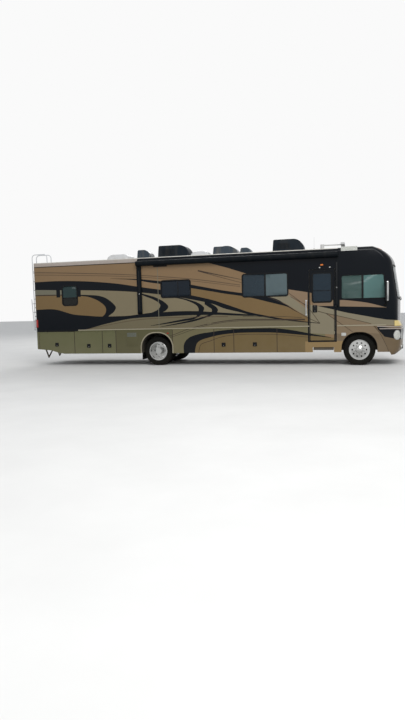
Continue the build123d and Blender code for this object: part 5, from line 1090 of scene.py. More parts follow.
# %% Paint the body panels
BODY_OF = {node: o["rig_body"] for node, o in frame["nodes"].items()}
STORAGE_DOORS = sorted(node for node in frame["nodes"] if node.startswith("bay_door_"))
for node in ("wall_right", "wall_left", "front_cap", "rear_cap", "slide_room", "entry_door"):
    paint_node(node, BODY_OF[node], "tan")
for node in ["skirt_right", "skirt_left", "front_bumper"] + STORAGE_DOORS:
    paint_node(node, BODY_OF[node], "olive_low", "underside")
paint_node("roof", "coach", "tan", top="roof_top")

# %% [markdown]
# Some nodes have the right shape but need two or three finishes. A copy of the mesh is cut where the finish
# changes, and each face picks its own from its place.

# %% Nodes with several finishes
NODE_CREASE = 30.0


def recoloured(node, finishes, choose, cuts=()):
    """A copy of a CAD node, cut by planes, whose faces take the finish that choose names."""
    bm = copy_of(node, cuts)
    bm.normal_update()
    names = []
    for face in bm.faces:
        name = choose(face.calc_center_median())
        if name not in names:
            names.append(name)
        face.material_index = names.index(name)
    print(node, "takes", names)
    finish_piece(node + "_finished", bm, [finishes[name] for name in names], BODY_OF[node],
                 (node,), NODE_CREASE)


def cut_at_x(x):
    return (x, 0, 0), (1, 0, 0)


print("recolouring ready")

# %% Side glass
PANE_BAR_Z = 2.30
REAR_SIDE_END = -9.0
MIDDLE_END = -5.0
LIVING_BAR_X = FRONT_AXLE - 2.809
LIVING_END = -2.0
CAB_BAR_X = FRONT_AXLE + 0.095


def side_pane(centre):
    at = centre.x - FRONT_AXLE
    if at < REAR_SIDE_END:
        return "w1_top" if centre.z > PANE_BAR_Z else "w1_low"
    if at < MIDDLE_END:
        return "w2"
    if at < LIVING_END:
        return "w3_left" if centre.x < LIVING_BAR_X else "w3_right"
    return "cab_left" if centre.x < CAB_BAR_X else "cab_right"


recoloured("side_glass", GLASSES, side_pane,
           (((0, 0, PANE_BAR_Z), (0, 0, 1)), cut_at_x(LIVING_BAR_X), cut_at_x(CAB_BAR_X)))

# %% Mouldings
MOULDING_DARK_END = FRONT_AXLE - 9.2
MOULDING_LOW_Z = 1.15
ROOF_LAMP_Z = 3.0


def moulding_tone(centre):
    if centre.z > ROOF_LAMP_Z:
        return "clear_lens"
    dark = centre.x < MOULDING_DARK_END and centre.z > MOULDING_LOW_Z
    return "gloss_black" if dark else "cream_trim"


recoloured("mouldings", SHADES, moulding_tone, (cut_at_x(MOULDING_DARK_END),))

# %% Mirrors
MIRROR_FACE_X = middle_of("mirrors").x + 0.012
MIRROR_ARM_TOP = 1.9


def mirror_tone(centre):
    if centre.z < MIRROR_ARM_TOP:
        return "satin_black"
    return "chrome" if centre.x > MIRROR_FACE_X else "gloss_black"


recoloured("mirrors", SHADES, mirror_tone, (cut_at_x(MIRROR_FACE_X),))

# %% Amber lamps
FRONT_TURN_X = 5.8
FRONT_TURN_TOP = 1.5


def amber_tone(centre):
    return "turn_lens" if centre.x > FRONT_TURN_X and centre.z < FRONT_TURN_TOP else "amber"


recoloured("amber_lamps", SHADES, amber_tone)

# %% Dash
STEERING_END_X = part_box("dash")[0].x + 0.207
STEERING_SIDE_Y = 0.3


def dash_tone(centre):
    return "satin_black" if centre.x < STEERING_END_X and centre.y > STEERING_SIDE_Y else "dash"


recoloured("dash", SHADES, dash_tone)

# %% [markdown]
# The remaining nodes keep their mesh and only take a better material.

# %% Finish the other CAD nodes
NODE_SHADES = {
    "frame_black": ("chassis_frame", "front_axle", "rear_axle", "rear_hitch", "entry_steps", "knuckle_right",
                    "knuckle_left", "slide_runners"),
    "cast_iron": ("engine",),
    "pipe_steel": ("exhaust",),
    "bay_plastic": ("bays_right", "bays_left", "tanks"),
    "floor_board": ("floor",),
    "gloss_black": ("window_frames",),
    "awning_case": ("awning",),
    "shroud": ("roof_air_units",),
    "smoke": ("roof_vents",),
    "white": ("roof_domes",),
    "white_tube": ("ladder_upper", "ladder_lower"),
    "chrome": ("rim_front_right", "rim_front_left", "rims_rear_right", "rims_rear_left"),
    "clear_lens": ("headlamps",),
    "red": ("red_lamps",),
}


def assign(node, material):
    mesh = frame["nodes"][node].data
    mesh.materials.clear()
    mesh.materials.append(material)


for shade, nodes in NODE_SHADES.items():
    for node in nodes:
        assign(node, SHADES[shade])
assign("slide_glass", GLASSES["house"])
assign("entry_glass", GLASSES["door"])
assign("windshield", GLASSES["screen"])
print("finishes assigned to", sum(len(nodes) for nodes in NODE_SHADES.values()) + 3, "nodes")

# %% [markdown]
# Small fittings have to touch what carries them. So the painted CAD panels go into one search tree, and a
# ray from outside says where the skin is at a given place on either side, or on the nose.

# %% Find the skin of the body
SKIN_NODES = ("wall_right", "wall_left", "front_cap", "rear_cap", "front_bumper", "skirt_right",
              "skirt_left", "roof", "entry_door", "slide_room", *STORAGE_DOORS)
FAR_OUT = 8.0


def tree_of(*nodes):
    """A search tree over the meshes of some CAD nodes."""
    bm = bmesh.new()
    for node in nodes:
        bm.from_mesh(frame["nodes"][node].data)
    tree = BVHTree.FromBMesh(bm)
    bm.free()
    return tree


SKIN = tree_of(*SKIN_NODES)


def side_skin(x, z, side=-1):
    """How far out the side is, at a place along it."""
    hit = SKIN.ray_cast(Vector((x, side * FAR_OUT, z)), Vector((0, -side, 0)))[0]
    return hit.y if hit else side * HALF_WIDTH


def end_skin(y, z, way=1):
    """How far forward the nose is, or with way -1 how far back the tail."""
    hit = SKIN.ray_cast(Vector((way * FAR_OUT, y, z)), Vector((-way, 0, 0)))[0]
    return hit.x if hit else (NOSE_X if way > 0 else REAR_X)


print("skin at the door", round(side_skin(FRONT_AXLE - 1.1, 1.5), 3), "nose", round(end_skin(0.0, 1.3), 3))

# %% [markdown]
# A storage door's latch is a square black cup with a paddle in it and a key cylinder below the paddle. It
# is drawn once, at its own height, and placed from a table of doors.

# %% Storage-door latches
LATCH_ROWS = (
    # door, place ahead of the front axle, height
    ("bay_door_right_1", -10.023, 0.725),
    ("bay_door_right_2", -8.832, 0.673),
    ("bay_door_right_3", -8.072, 0.673),
    ("bay_door_right_4", -4.161, 0.670),
    ("bay_door_right_5", -3.157, 0.670),
    ("bay_door_left_1", -10.023, 0.725),
    ("bay_door_left_2", -3.717, 0.670),
)
LATCH_HALF = 0.062
LATCH_BACK_HALF = 0.052
LATCH_RIM = 0.014
LATCH_CORNERS = (0.015, 0.009)
LATCH_PROUD = 0.012
KEY_PROFILE = ((0.011, -0.002), (0.011, 0.006), (0.008, 0.008))
KEY_DROP = 0.028


def y_turn(place, side=-1):
    """Turns a lathe's axis so that it looks out of one side, and puts it at a place."""
    return Matrix.Translation(place) @ Matrix.Rotation(side * -math.pi / 2, 4, "X")


def latch(door, at, z):
    side = -1 if "right" in door else 1
    x = FRONT_AXLE + at
    y = side_skin(x, z, side)
    bm = bmesh.new()
    add_frame(bm, grown_box((x, x, z, z), LATCH_HALF), LATCH_RIM, LATCH_CORNERS, y, y + side * LATCH_PROUD)
    x0, x1, z0, z1 = grown_box((x, x, z, z), LATCH_BACK_HALF)
    add_box(bm, (x0, y - side * 0.002, z0), (x1, y + side * 0.003, z1), 0.001)
    add_box(bm, (x - 0.038, y + side * 0.003, z - 0.005), (x + 0.038, y + side * 0.010, z + 0.040), 0.003, 1)
    add_lathe(bm, KEY_PROFILE, y_turn((x, y + side * 0.004, z - KEY_DROP), side), 16, 2)
    place_piece("latch_" + door.removeprefix("bay_door_"), bm, shades("rubber", "satin_black", "steel"),
                door)


for row in LATCH_ROWS:
    latch(*row)
print("latches", len(LATCH_ROWS))

# %% [markdown]
# Opening panes meet at a bar with a rubber channel. The cab's windows sit in a flush black surround, which
# the CAD leaves as a bare edge, so a thin frame goes round each of them.

# %% Window bars
BAR_ROWS = (
    # body, side, x0, x1, z0, z1
    ("coach", -1, LIVING_BAR_X - 0.026, LIVING_BAR_X + 0.026, 2.161, 2.842),
    ("coach", -1, CAB_BAR_X - 0.030, CAB_BAR_X + 0.030, 2.015, 2.69),
    ("coach", 1, CAB_BAR_X - 0.030, CAB_BAR_X + 0.030, 2.015, 2.69),
    ("coach", -1, -4.888, -4.349, PANE_BAR_Z - 0.018, PANE_BAR_Z + 0.018),
    ("coach", 1, -4.888, -4.349, PANE_BAR_Z - 0.018, PANE_BAR_Z + 0.018),
    ("coach", -1, -0.80, -0.775, 2.222, 2.744),
    ("slide_room", 1, 0.02, 0.05, 2.161, 2.842),
    ("slide_room", 1, 1.97, 2.0, 2.161, 2.842),
)
GLASS_OUT_Y = HALF_WIDTH - 0.006
SLIDE_GLASS_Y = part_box("slide_glass")[1].y
BAR_IN = 0.008
BAR_PROUD = 0.004


def window_bars(body):
    glass_y = SLIDE_GLASS_Y if body == "slide_room" else GLASS_OUT_Y
    bm = bmesh.new()
    for owner, side, x0, x1, z0, z1 in BAR_ROWS:
        if owner == body:
            add_box(bm, (x0, side * (glass_y - BAR_IN), z0), (x1, side * (glass_y + BAR_PROUD), z1), 0.003)
    place_piece("window_bars_" + body, bm, shades("rubber"), body)


window_bars("coach")
window_bars("slide_room")
print("window bars", len(BAR_ROWS))

# %% Cab window surrounds
CAB_GLASS = [(4.334, 2.015), (5.582, 2.015), (5.524, 2.69), (4.334, 2.69)]
CORNER_STEPS = 5


def soft_corners(corners, cut):
    """The outline of a polygon with each corner rounded off."""
    line = []
    for index, corner in enumerate(corners):
        here = Vector(corner)
        start = here + (Vector(corners[index - 1]) - here).normalized() * cut
        end = here + (Vector(corners[(index + 1) % len(corners)]) - here).normalized() * cut
        for step in range(CORNER_STEPS + 1):
            t = step / CORNER_STEPS
            line.append(tuple(start * (1 - t) ** 2 + here * 2 * t * (1 - t) + end * t * t))
    return line


def grown(corners, by):
    """A quadrilateral with its corners moved out from its middle."""
    middle = sum((Vector(corner) for corner in corners), Vector((0, 0))) / len(corners)
    return [(x + math.copysign(by, x - middle.x), z + math.copysign(by, z - middle.y)) for x, z in corners]


def cab_surround(name, side):
    outer = soft_corners(grown(CAB_GLASS, 0.03), 0.08)
    inner = soft_corners(grown(CAB_GLASS, -0.012), 0.05)
    bm = bmesh.new()
    add_ring(bm, outer, inner, side * (HALF_WIDTH - 0.001), side * (HALF_WIDTH + 0.005))
    place_piece(name, bm, shades("gloss_black"), "coach")


cab_surround("cab_surround_right", -1)
cab_surround("cab_surround_left", 1)

# %% [markdown]
# The entry door carries a paddle handle in a black cup with two key locks, a trim round its window and a
# rubber lip. Beside the door stands a grab handle on two feet, and two small lamps shine down on the step.

# %% Door handle
DOOR_Y = -HALF_WIDTH
PADDLE_X = FRONT_AXLE - 1.30
PADDLE_Z = 1.73
PADDLE_CUP = (PADDLE_X - 0.07, PADDLE_X + 0.07, PADDLE_Z - 0.11, PADDLE_Z + 0.11)
LOCK_PROFILE = ((0.012, -0.001), (0.012, 0.006), (0.009, 0.009))


def door_handle():
    bm = bmesh.new()
    add_frame(bm, PADDLE_CUP, 0.016, (0.02, 0.012), DOOR_Y, DOOR_Y - 0.012)
    x0, x1, z0, z1 = grown_box(PADDLE_CUP, -0.01)
    add_box(bm, (x0, DOOR_Y - 0.003, z0), (x1, DOOR_Y + 0.002, z1), 0.001)
    add_box(bm, (PADDLE_X - 0.042, DOOR_Y - 0.014, PADDLE_Z - 0.035),
            (PADDLE_X + 0.042, DOOR_Y - 0.002, PADDLE_Z + 0.075), 0.005, 1)
    for lift in (-0.065, 0.088):
        add_lathe(bm, LOCK_PROFILE, y_turn((PADDLE_X, DOOR_Y - 0.003, PADDLE_Z + lift)), 16, 2)
    place_piece("door_paddle", bm, shades("rubber", "satin_black", "steel"), "entry_door")


door_handle()

# %% Door edge trim
DOOR_EDGE = (FRONT_AXLE - 1.455, FRONT_AXLE - 0.716, 0.751, 2.898)


def door_seal():
    """The rubber lip that closes the gap, carried by the door's own edge."""
    bm = bmesh.new()
    add_frame(bm, DOOR_EDGE, 0.018, (0.03, 0.02), DOOR_Y - 0.003, DOOR_Y + 0.001)
    place_piece("door_edge_trim", bm, shades("gloss_black"), "entry_door")


door_seal()

# %% Door window trim
DOOR_PANE = (3.474, 4.035, 1.935, 2.796)
DOOR_BAR_Z = (2.26, 2.28)


def door_window_frame():
    bm = bmesh.new()
    add_frame(bm, grown_box(DOOR_PANE, 0.03), 0.045, (0.09, 0.05), DOOR_Y - 0.006, DOOR_Y + 0.001)
    add_box(bm, (DOOR_PANE[0] + 0.01, DOOR_Y + 0.0045, DOOR_BAR_Z[0]),
            (DOOR_PANE[1] - 0.01, DOOR_Y + 0.0075, DOOR_BAR_Z[1]), 0.001)
    place_piece("door_window_trim", bm, shades("gloss_black"), "entry_door")


door_window_frame()

# %% Grab handle
GRAB_X = FRONT_AXLE - 1.56
GRAB_PATH = (
    # out from the wall, height
    (-0.002, 1.56), (0.035, 1.57), (0.05, 1.60), (0.052, 1.78), (0.05, 1.94), (0.035, 1.97), (-0.002, 1.98),
)
GRAB_FOOT = ((0.026, -0.001), (0.026, 0.005), (0.018, 0.010))


def grab_handle():
    y = side_skin(GRAB_X, 1.75)
    bm = bmesh.new()
    add_tube(bm, [(GRAB_X, y - out, z) for out, z in GRAB_PATH], 0.012, 14)
    for out, z in (GRAB_PATH[0], GRAB_PATH[-1]):
        add_lathe(bm, GRAB_FOOT, y_turn((GRAB_X, y, z)), 20)
    place_piece("grab_handle", bm, shades("white_tube"), "coach")


grab_handle()

# %% Step lamps
STEP_LAMP_Z = 2.965
STEP_LAMP_RIM = ((0.022, -0.001), (0.022, 0.008), (0.016, 0.012))
STEP_LAMP_LENS = ((0.013, 0.0), (0.013, 0.014), (0.008, 0.016))


def door_lamps():
    bm = bmesh.new()
    for at in (-1.15, -0.85):
        x = FRONT_AXLE + at
        place = y_turn((x, side_skin(x, STEP_LAMP_Z - 0.015), STEP_LAMP_Z))
        add_lathe(bm, STEP_LAMP_RIM, place, 20)
        add_lathe(bm, STEP_LAMP_LENS, place, 16, 1)
    place_piece("door_lamps", bm, shades("chrome", "clear_lens"), "coach")


door_lamps()

# %% [markdown]
# The awning hangs from a bracket bar on the wall. Its roller's cloth shows as a black roll with end caps,
# and each arm has a sliding inner rail, a knob and a foot bracket. It stays folded, as it is parked.

# %% Awning fittings
ARM_ROWS = (
    # x0, x1, foot height
    (-2.17, -2.02, 1.705),
    (4.14, 4.24, 1.768),
)
BRACKET_ROWS = (
    # x0 and x1 ahead of the front axle, how proud of the wall, z0, z1
    (-6.433, -5.977, 0.03, 3.205, 3.25),
    (-6.40, -6.33, 0.05, 3.24, 3.33),
    (-6.08, -6.01, 0.05, 3.24, 3.33),
)
ARM_Y = -HALF_WIDTH - 0.035
ARM_TOP_Z = 3.10
KNOB_Z = 2.35
KNOB_PROFILE = ((0.018, 0.0), (0.018, 0.012), (0.012, 0.016))
IN_WALL_Y = -HALF_WIDTH + 0.001


def awning_fittings():
    bm = bmesh.new()
    for x0, x1, foot in ARM_ROWS:
        x = (x0 + x1) / 2
        add_box(bm, (x - 0.018, ARM_Y - 0.012, foot + 0.10), (x + 0.018, ARM_Y + 0.004, ARM_TOP_Z), 0.003)
        add_box(bm, (x0 + 0.005, ARM_Y - 0.010, foot - 0.012), (x1 - 0.005, IN_WALL_Y, foot + 0.05), 0.006)
        add_lathe(bm, KNOB_PROFILE, y_turn((x, ARM_Y - 0.011, KNOB_Z)), 16, 1)
    for at0, at1, proud, z0, z1 in BRACKET_ROWS:
        add_box(bm, (FRONT_AXLE + at0, -HALF_WIDTH - proud, z0), (FRONT_AXLE + at1, IN_WALL_Y, z1), 0.006)
    place_piece("awning_fittings", bm, shades("satin_black", "steel"), "coach")


awning_fittings()

# %% [markdown]
# Service panels sit low on the sides: the water heater's door with a louvre at its top behind the rear wheel,
# a light box on the front fender, and on the left the power and fuel hatches and the vents of the furnace
# and the fridge. All are thin pressed lids with a turned edge, so one function draws them from a table.

# %% Service panels
HATCH_ROWS = (
    # name, side, x0, x1, z0, z1 (ahead of the front axle), louvre rows, lens
    ("water_heater", -1, -7.479, -7.055, 0.651, 1.120, 4, False),
    ("fender_light", -1, -0.520, -0.385, 0.900, 0.990, 0, True),
    ("power_hatch", 1, -8.60, -8.35, 0.78, 1.02, 0, False),
    ("furnace_vent", 1, -7.45, -7.05, 0.80, 1.06, 5, False),
    ("fuel_hatch", 1, -5.76, -5.56, 0.70, 0.90, 0, False),
    ("fridge_vent", 1, -7.10, -6.55, 1.42, 1.92, 9, False),
    ("exhaust_vent", -1, -4.70, -4.54, 1.33, 1.47, 0, False),
)
LID_RIM = 0.012
LID_IN = 0.001
SLAT_PITCH = 0.034
WALL_LID_Z = BELT_Z + 0.1
MID_SKIRT_END = -5.8


def lid_paint(at0, side, z1):
    """A lid is sprayed in the paint of the panel that it sits in."""
    if z1 > WALL_LID_Z:
        return "grey_olive" if side < 0 else "cream"
    return "skirt_mid" if at0 < MID_SKIRT_END else "olive_low"


def hatch(name, side, at0, at1, z0, z1, slats, lens):
    x0, x1 = FRONT_AXLE + at0, FRONT_AXLE + at1
    y = side_skin((x0 + x1) / 2, (z0 + z1) / 2, side)
    bm = bmesh.new()
    add_frame(bm, (x0, x1, z0, z1), LID_RIM, (0.02, 0.014), y - side * LID_IN, y + side * 0.006)
    proud = 0.006 if lens else 0.003
    add_box(bm, (x0 + 0.008, y - side * LID_IN, z0 + 0.008), (x1 - 0.008, y + side * proud, z1 - 0.008),
            0.001, 2 if lens else 0)
    for row in range(slats):
        z = z1 - 0.03 - row * SLAT_PITCH
        add_box(bm, (x0 + 0.05, y + side * 0.002, z - 0.020), (x1 - 0.05, y + side * 0.009, z - 0.004),
                0.003, 1)
    lid = SHADES["white"] if lens else PAINTS[lid_paint(at0, side, z1)]
    place_piece(name, bm, [lid, *shades("louvre", "clear_lens")], "coach")


for row in HATCH_ROWS:
    hatch(*row)
print("service panels", len(HATCH_ROWS))

# %% [markdown]
# Each headlamp is an oval lens in a chrome bezel, and a clear lens carries the lamp on round the nose's
# corner. The nose bends two ways there, so a flat ring would sink in or stand off. Both are therefore built
# as rings of points that are read off the skin, each lifted a little from it.

# %% Headlamp bezels
LAMP_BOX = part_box("headlamps")
LAMP_Y = 1.0
LAMP_Z = (LAMP_BOX[0].z + LAMP_BOX[1].z) / 2
LAMP_HALF_Y = LAMP_BOX[1].y - LAMP_Y
LAMP_HALF_Z = (LAMP_BOX[1].z - LAMP_BOX[0].z) / 2
BEZEL_PROFILE = (
    # out from the lens's edge, out from the skin
    (0.004, -0.002), (0.006, 0.006), (0.020, 0.007), (0.030, 0.001),
)


def lamp_bezel(name, side):
    bm = bmesh.new()
    loops = []
    for grow, lift in BEZEL_PROFILE:
        places = [(side * LAMP_Y + (LAMP_HALF_Y + grow) * c, LAMP_Z + (LAMP_HALF_Z + grow) * s)
                  for c, s in circle(48)]
        loops.append([bm.verts.new((end_skin(y, z) + lift, y, z)) for y, z in places])
    join_rings(bm, loops + loops[:1])
    place_piece(name, bm, shades("chrome"), "coach")


lamp_bezel("lamp_bezel_right", -1)
lamp_bezel("lamp_bezel_left", 1)
print("headlamps at", round(LAMP_Z, 3))

# %% Corner lamps
CORNER_LAMP = (FRONT_AXLE + 1.075, 0.905, 0.085, 0.120)
CORNER_PROFILE = (
    # share of the lamp's half size, out from the skin: the rim's four rings, then the lens
    (1.22, -0.002), (1.20, 0.006), (1.03, 0.007), (1.0, 0.003), (0.8, 0.010), (0.5, 0.014), (0.2, 0.016),
)
CORNER_RIM_RINGS = 4


def corner_lamp(name, side):
    """The clear lens that carries each headlamp round the nose's corner, in a chrome rim."""
    x0, z0, half_x, half_z = CORNER_LAMP
    bm = bmesh.new()
    loops = []
    for share, lift in CORNER_PROFILE:
        places = [(x0 + half_x * share * c, z0 + half_z * share * s) for c, s in circle(40)]
        loops.append([bm.verts.new((x + lift * 0.5, side_skin(x, z, side) + side * lift, z))
                      for x, z in places])
    join_rings(bm, loops[:CORNER_RIM_RINGS])
    join_rings(bm, loops[CORNER_RIM_RINGS - 1:], 1)
    bm.faces.new(loops[-1]).material_index = 1
    bm.faces.new(loops[0])
    place_piece(name, bm, shades("chrome", "clear_lens"), "coach")


corner_lamp("corner_lamp_right", -1)
corner_lamp("corner_lamp_left", 1)

# %% [markdown]
# The nose has a grille with a dark wire mesh behind chrome edges, a blank plate, two fog lamps and a chrome
# strip that ties the headlamps together. The strips are rows of points read off the skin, so they follow
# the nose's curve, and the plate and the lamps are set where the skin is.

# %% Chrome strips
GRILLE_HALF_Y = 0.52
GRILLE_Z0 = 0.62
GRILLE_Z1 = 0.86
GRILLE_END_Y = GRILLE_HALF_Y + 0.03
STRIP_ROWS = (
    # y0, y1, z0, z1, proud, steps: between the lamps, then the grille's head, foot and two sides
    (-0.86, 0.86, 1.085, 1.120, 0.006, 28),
    (-GRILLE_END_Y, GRILLE_END_Y, GRILLE_Z1 + 0.004, GRILLE_Z1 + 0.030, 0.005, 28),
    (-GRILLE_END_Y, GRILLE_END_Y, GRILLE_Z0 - 0.030, GRILLE_Z0 - 0.004, 0.005, 28),
    (-GRILLE_HALF_Y - 0.004, -GRILLE_END_Y, GRILLE_Z0 - 0.004, GRILLE_Z1 + 0.004, 0.005, 2),
    (GRILLE_HALF_Y + 0.004, GRILLE_END_Y, GRILLE_Z0 - 0.004, GRILLE_Z1 + 0.004, 0.005, 2),
)
STRIP_DEPTH = 0.006


def add_nose_strip(bm, y0, y1, z0, z1, proud, steps):
    """A strip across the nose that follows its curve."""
    rings = []
    for step in range(steps + 1):
        y = y0 + (y1 - y0) * step / steps
        low, high = end_skin(y, z0), end_skin(y, z1)
        section = ((low - STRIP_DEPTH, z0), (low + proud, z0 + 0.002), (high + proud, z1 - 0.002),
                   (high - STRIP_DEPTH, z1))
        rings.append([bm.verts.new((x, y, z)) for x, z in section])
    join_rings(bm, rings)
    close_ends(bm, rings)


def nose_chrome():
    bm = bmesh.new()
    for row in STRIP_ROWS:
        add_nose_strip(bm, *row)
    place_piece("nose_chrome", bm, shades("chrome"), "coach")


nose_chrome()

# %% Front plate
FRONT_PLATE = (-0.168, 0.168, 0.425, 0.583)


def front_plate():
    y0, y1, z0, z1 = FRONT_PLATE
    x = end_skin(0, z1)
    bm = bmesh.new()
    add_box(bm, (x - 0.012, y0, z0), (x + 0.004, y1, z1), 0.003)
    y0, y1, z0, z1 = grown_box(FRONT_PLATE, -0.012)
    add_box(bm, (x + 0.002, y0, z0), (x + 0.007, y1, z1), 0.002, 1)
    place_piece("front_plate_blank", bm, shades("satin_black", "white"), "coach")


front_plate()

# %% Fog lamps
FOG_Y = 0.72
FOG_Z = 0.52
FOG_BEZEL = ((0.075, 0.0), (0.075, 0.018), (0.066, 0.024), (0.060, 0.018))
FOG_LENS = ((0.059, 0.0), (0.059, 0.014), (0.045, 0.021), (0.02, 0.023))


def x_turn(place, way=1):
    """Turns a lathe's axis so that it looks ahead, or with way -1 behind, and puts it at a place."""
    return Matrix.Translation(place) @ Matrix.Rotation(way * math.pi / 2, 4, "Y")


def fog_lamps():
    bm = bmesh.new()
    for y in (-FOG_Y, FOG_Y):
        place = x_turn((end_skin(y, FOG_Z) - 0.015, y, FOG_Z))
        add_lathe(bm, FOG_BEZEL, place, 36)
        add_lathe(bm, FOG_LENS, place, 36, 1)
    place_piece("fog_lamps", bm, shades("chrome", "clear_lens"), "coach")


fog_lamps()

# %% Grille wire
WIRE_R = 0.003
WIRE_BACK = 0.05
WIRE_ROWS = 9
WIRE_ROW_PITCH = 0.027
WIRE_COLUMNS = 33
WIRE_COLUMN_PITCH = 0.031


def wire_x(y):
    return end_skin(y, GRILLE_Z1 + 0.02) - WIRE_BACK


def grille_mesh():
    """A dark woven wire backing just behind the grille's openings."""
    bm = bmesh.new()
    for row in range(WIRE_ROWS):
        z = GRILLE_Z0 + 0.012 + row * WIRE_ROW_PITCH
        add_tube(bm, [(wire_x(y), y, z) for y in (-0.5, -0.25, 0, 0.25, 0.5)], WIRE_R, 6)
    for column in range(WIRE_COLUMNS):
        y = (column - WIRE_COLUMNS // 2) * WIRE_COLUMN_PITCH
        add_tube(bm, [(wire_x(y), y, z) for z in (GRILLE_Z0 + 0.004, GRILLE_Z1 - 0.004)], WIRE_R, 6)
    place_piece("grille_wire", bm, shades("gloss_black"), "coach")


grille_mesh()
print("nose reaches", round(end_skin(0, 0.9), 3))

# %% [markdown]
# The windshield is two panes that meet at a rubber bar. A pair of wipers is parked flat along its foot, each
# an arm that runs from a pivot to a blade, and a black band of rubber seals the glass all round.

# %% Bands on the windshield
SCREEN_HALF_Y = 1.12
SCREEN_Z0 = 1.975
SCREEN_Z1 = 2.960
SCREEN_CORNER = 0.11
SCREEN = tree_of("windshield", "front_cap")


def screen_x(y, z):
    hit = SCREEN.ray_cast(Vector((FAR_OUT, y, z)), Vector((-1, 0, 0)))[0]
    return hit.x if hit else NOSE_X


def add_screen_band(bm, path, width, proud):
    """A flat band along a path of (y, z) places on the windshield."""
    rings = []
    last = len(path) - 1
    for index, (y, z) in enumerate(path):
        if path[0] == path[-1]:
            ahead, behind = path[(index + 1) % len(path)], path[index - 1]
        else:
            ahead, behind = path[min(index + 1, last)], path[max(index - 1, 0)]
        dy, dz = ahead[0] - behind[0], ahead[1] - behind[1]
        length = math.hypot(dy, dz) or 1.0
        ry, rz = -dz / length * width / 2, dy / length * width / 2
        ring = []
        for share, lift in ((-1.0, 0.0), (-0.8, proud), (0.8, proud), (1.0, 0.0)):
            place = (y + ry * share, z + rz * share)
            ring.append(bm.verts.new((screen_x(*place) + lift, *place)))
        rings.append(ring)
    for near, far in zip(rings, rings[1:]):
        for index in range(3):
            bm.faces.new((near[index], near[index + 1], far[index + 1], far[index]))


print("glass at", round(screen_x(0.5, 2.5), 3))

# %% Windshield seal and bar
SEAL_STEP = 0.08
SEAL_WIDTH = 0.05
BAR_STEP = 0.06
BAR_WIDTH = 0.045
BAR_POINTS = 17


def screen_trim():
    bm = bmesh.new()
    outline = rounded(-SCREEN_HALF_Y, SCREEN_HALF_Y, SCREEN_Z0, SCREEN_Z1, SCREEN_CORNER, 8)
    dense = []
    for start, end in zip(outline, outline[1:] + outline[:1]):
        pieces = max(1, int(math.dist(start, end) / SEAL_STEP))
        for piece in range(pieces):
            dense.append(tuple(a + (b - a) * piece / pieces for a, b in zip(start, end)))
    add_screen_band(bm, dense + dense[:1], SEAL_WIDTH, 0.004)
    add_screen_band(bm, [(0.0, SCREEN_Z0 + step * BAR_STEP) for step in range(BAR_POINTS)], BAR_WIDTH, 0.005)
    bmesh.ops.remove_doubles(bm, verts=bm.verts, dist=MERGE)
    bm.normal_update()
    bmesh.ops.solidify(bm, geom=bm.faces[:], thickness=0.003)
    place_piece("screen_seal", bm, shades("rubber"), "coach")


screen_trim()

# %% Wipers
BLADE_STEPS = 10
BLADE_Z = SCREEN_Z0 + 0.035
BLADE_RISE = 0.02
PIVOT_Z = SCREEN_Z0 - 0.03
PIVOT_PROFILE = ((0.024, 0.0), (0.024, 0.016), (0.016, 0.026))


def wiper(name, pivot_y, tip_y):
    reach = tip_y - pivot_y
    blade = []
    for step in range(BLADE_STEPS + 1):
        t = step / BLADE_STEPS
        blade.append((pivot_y + reach * t, BLADE_Z + BLADE_RISE * math.sin(math.pi * t)))
    bm = bmesh.new()
    add_tube(bm, [(screen_x(y, z) + 0.013, y, z) for y, z in blade], 0.006, 8)
    pivot_x = screen_x(pivot_y, PIVOT_Z)
    arm = [(pivot_x + 0.004, pivot_y, PIVOT_Z), (pivot_x + 0.03, pivot_y + reach * 0.06, PIVOT_Z + 0.012)]
    arm += [(screen_x(y, z) + 0.028, y, z) for y, z in blade[4:6]]
    add_tube(bm, arm, 0.008, 8, 1)
    add_lathe(bm, PIVOT_PROFILE, x_turn((pivot_x - 0.006, pivot_y, PIVOT_Z)), 20, 1)
    place_piece(name, bm, shades("rubber", "satin_black"), "coach")


wiper("wiper_right", -0.12, -0.98)
wiper("wiper_left", 0.98, 0.12)

# %% [markdown]
# A tyre is turned from one profile: two beads, bulged sidewalls with fine rings, and a tread with four
# grooves. The shoulders are notched by pulling in the profile's shoulder points at every fourth step of the
# turn, which gives the blocks a truck tyre has without a separate piece for each. The profile stays within
# the CAD tyre. Twin tyres are two copies of it.

# %% Tyre profile
TYRE_HALF_W = 0.12
TREAD_HALF = 0.098
GROOVES = (-0.062, -0.021, 0.021, 0.062)
GROOVE_HALF = 0.0055
GROOVE_DEEP = 0.014
TYRE_STEPS = 192
NOTCH_EVERY = 4
TYRE_PROFILE_SIDE = (
    # radius, distance out from the middle plane
    (0.291, 0.094), (0.302, 0.1035), (0.309, 0.104), (0.322, 0.1095), (0.330, 0.1125), (0.333, 0.1105),
    (0.350, 0.1165), (0.370, 0.1190), (0.385, 0.1195), (0.388, 0.1175), (0.400, 0.1185), (0.420, 0.1160),
    (0.436, 0.1110), (0.449, 0.1050),
)
TREAD_EDGE = (
    # radius, distance out from the middle plane, depth of the notches
    (0.4600, 0.1015, 0.013), (TYRE_R - 0.002, TREAD_HALF, 0.011), (TYRE_R - 0.001, 0.080, 0.011),
    (TYRE_R - 0.001, 0.079, 0.0),
)


def tread_points():
    """(radius, place across, notch) over the tread, with its grooves."""
    points = [(radius, -across, notch) for radius, across, notch in TREAD_EDGE]
    for place in GROOVES:
        for offset, deep in ((-GROOVE_HALF - 0.002, 0.0), (-GROOVE_HALF, GROOVE_DEEP),
                             (GROOVE_HALF, GROOVE_DEEP), (GROOVE_HALF + 0.002, 0.0)):
            points.append((TYRE_R - 0.0004 - deep, place + offset, 0.0))
    return points + list(TREAD_EDGE[::-1])


print("tread points", len(tread_points()))

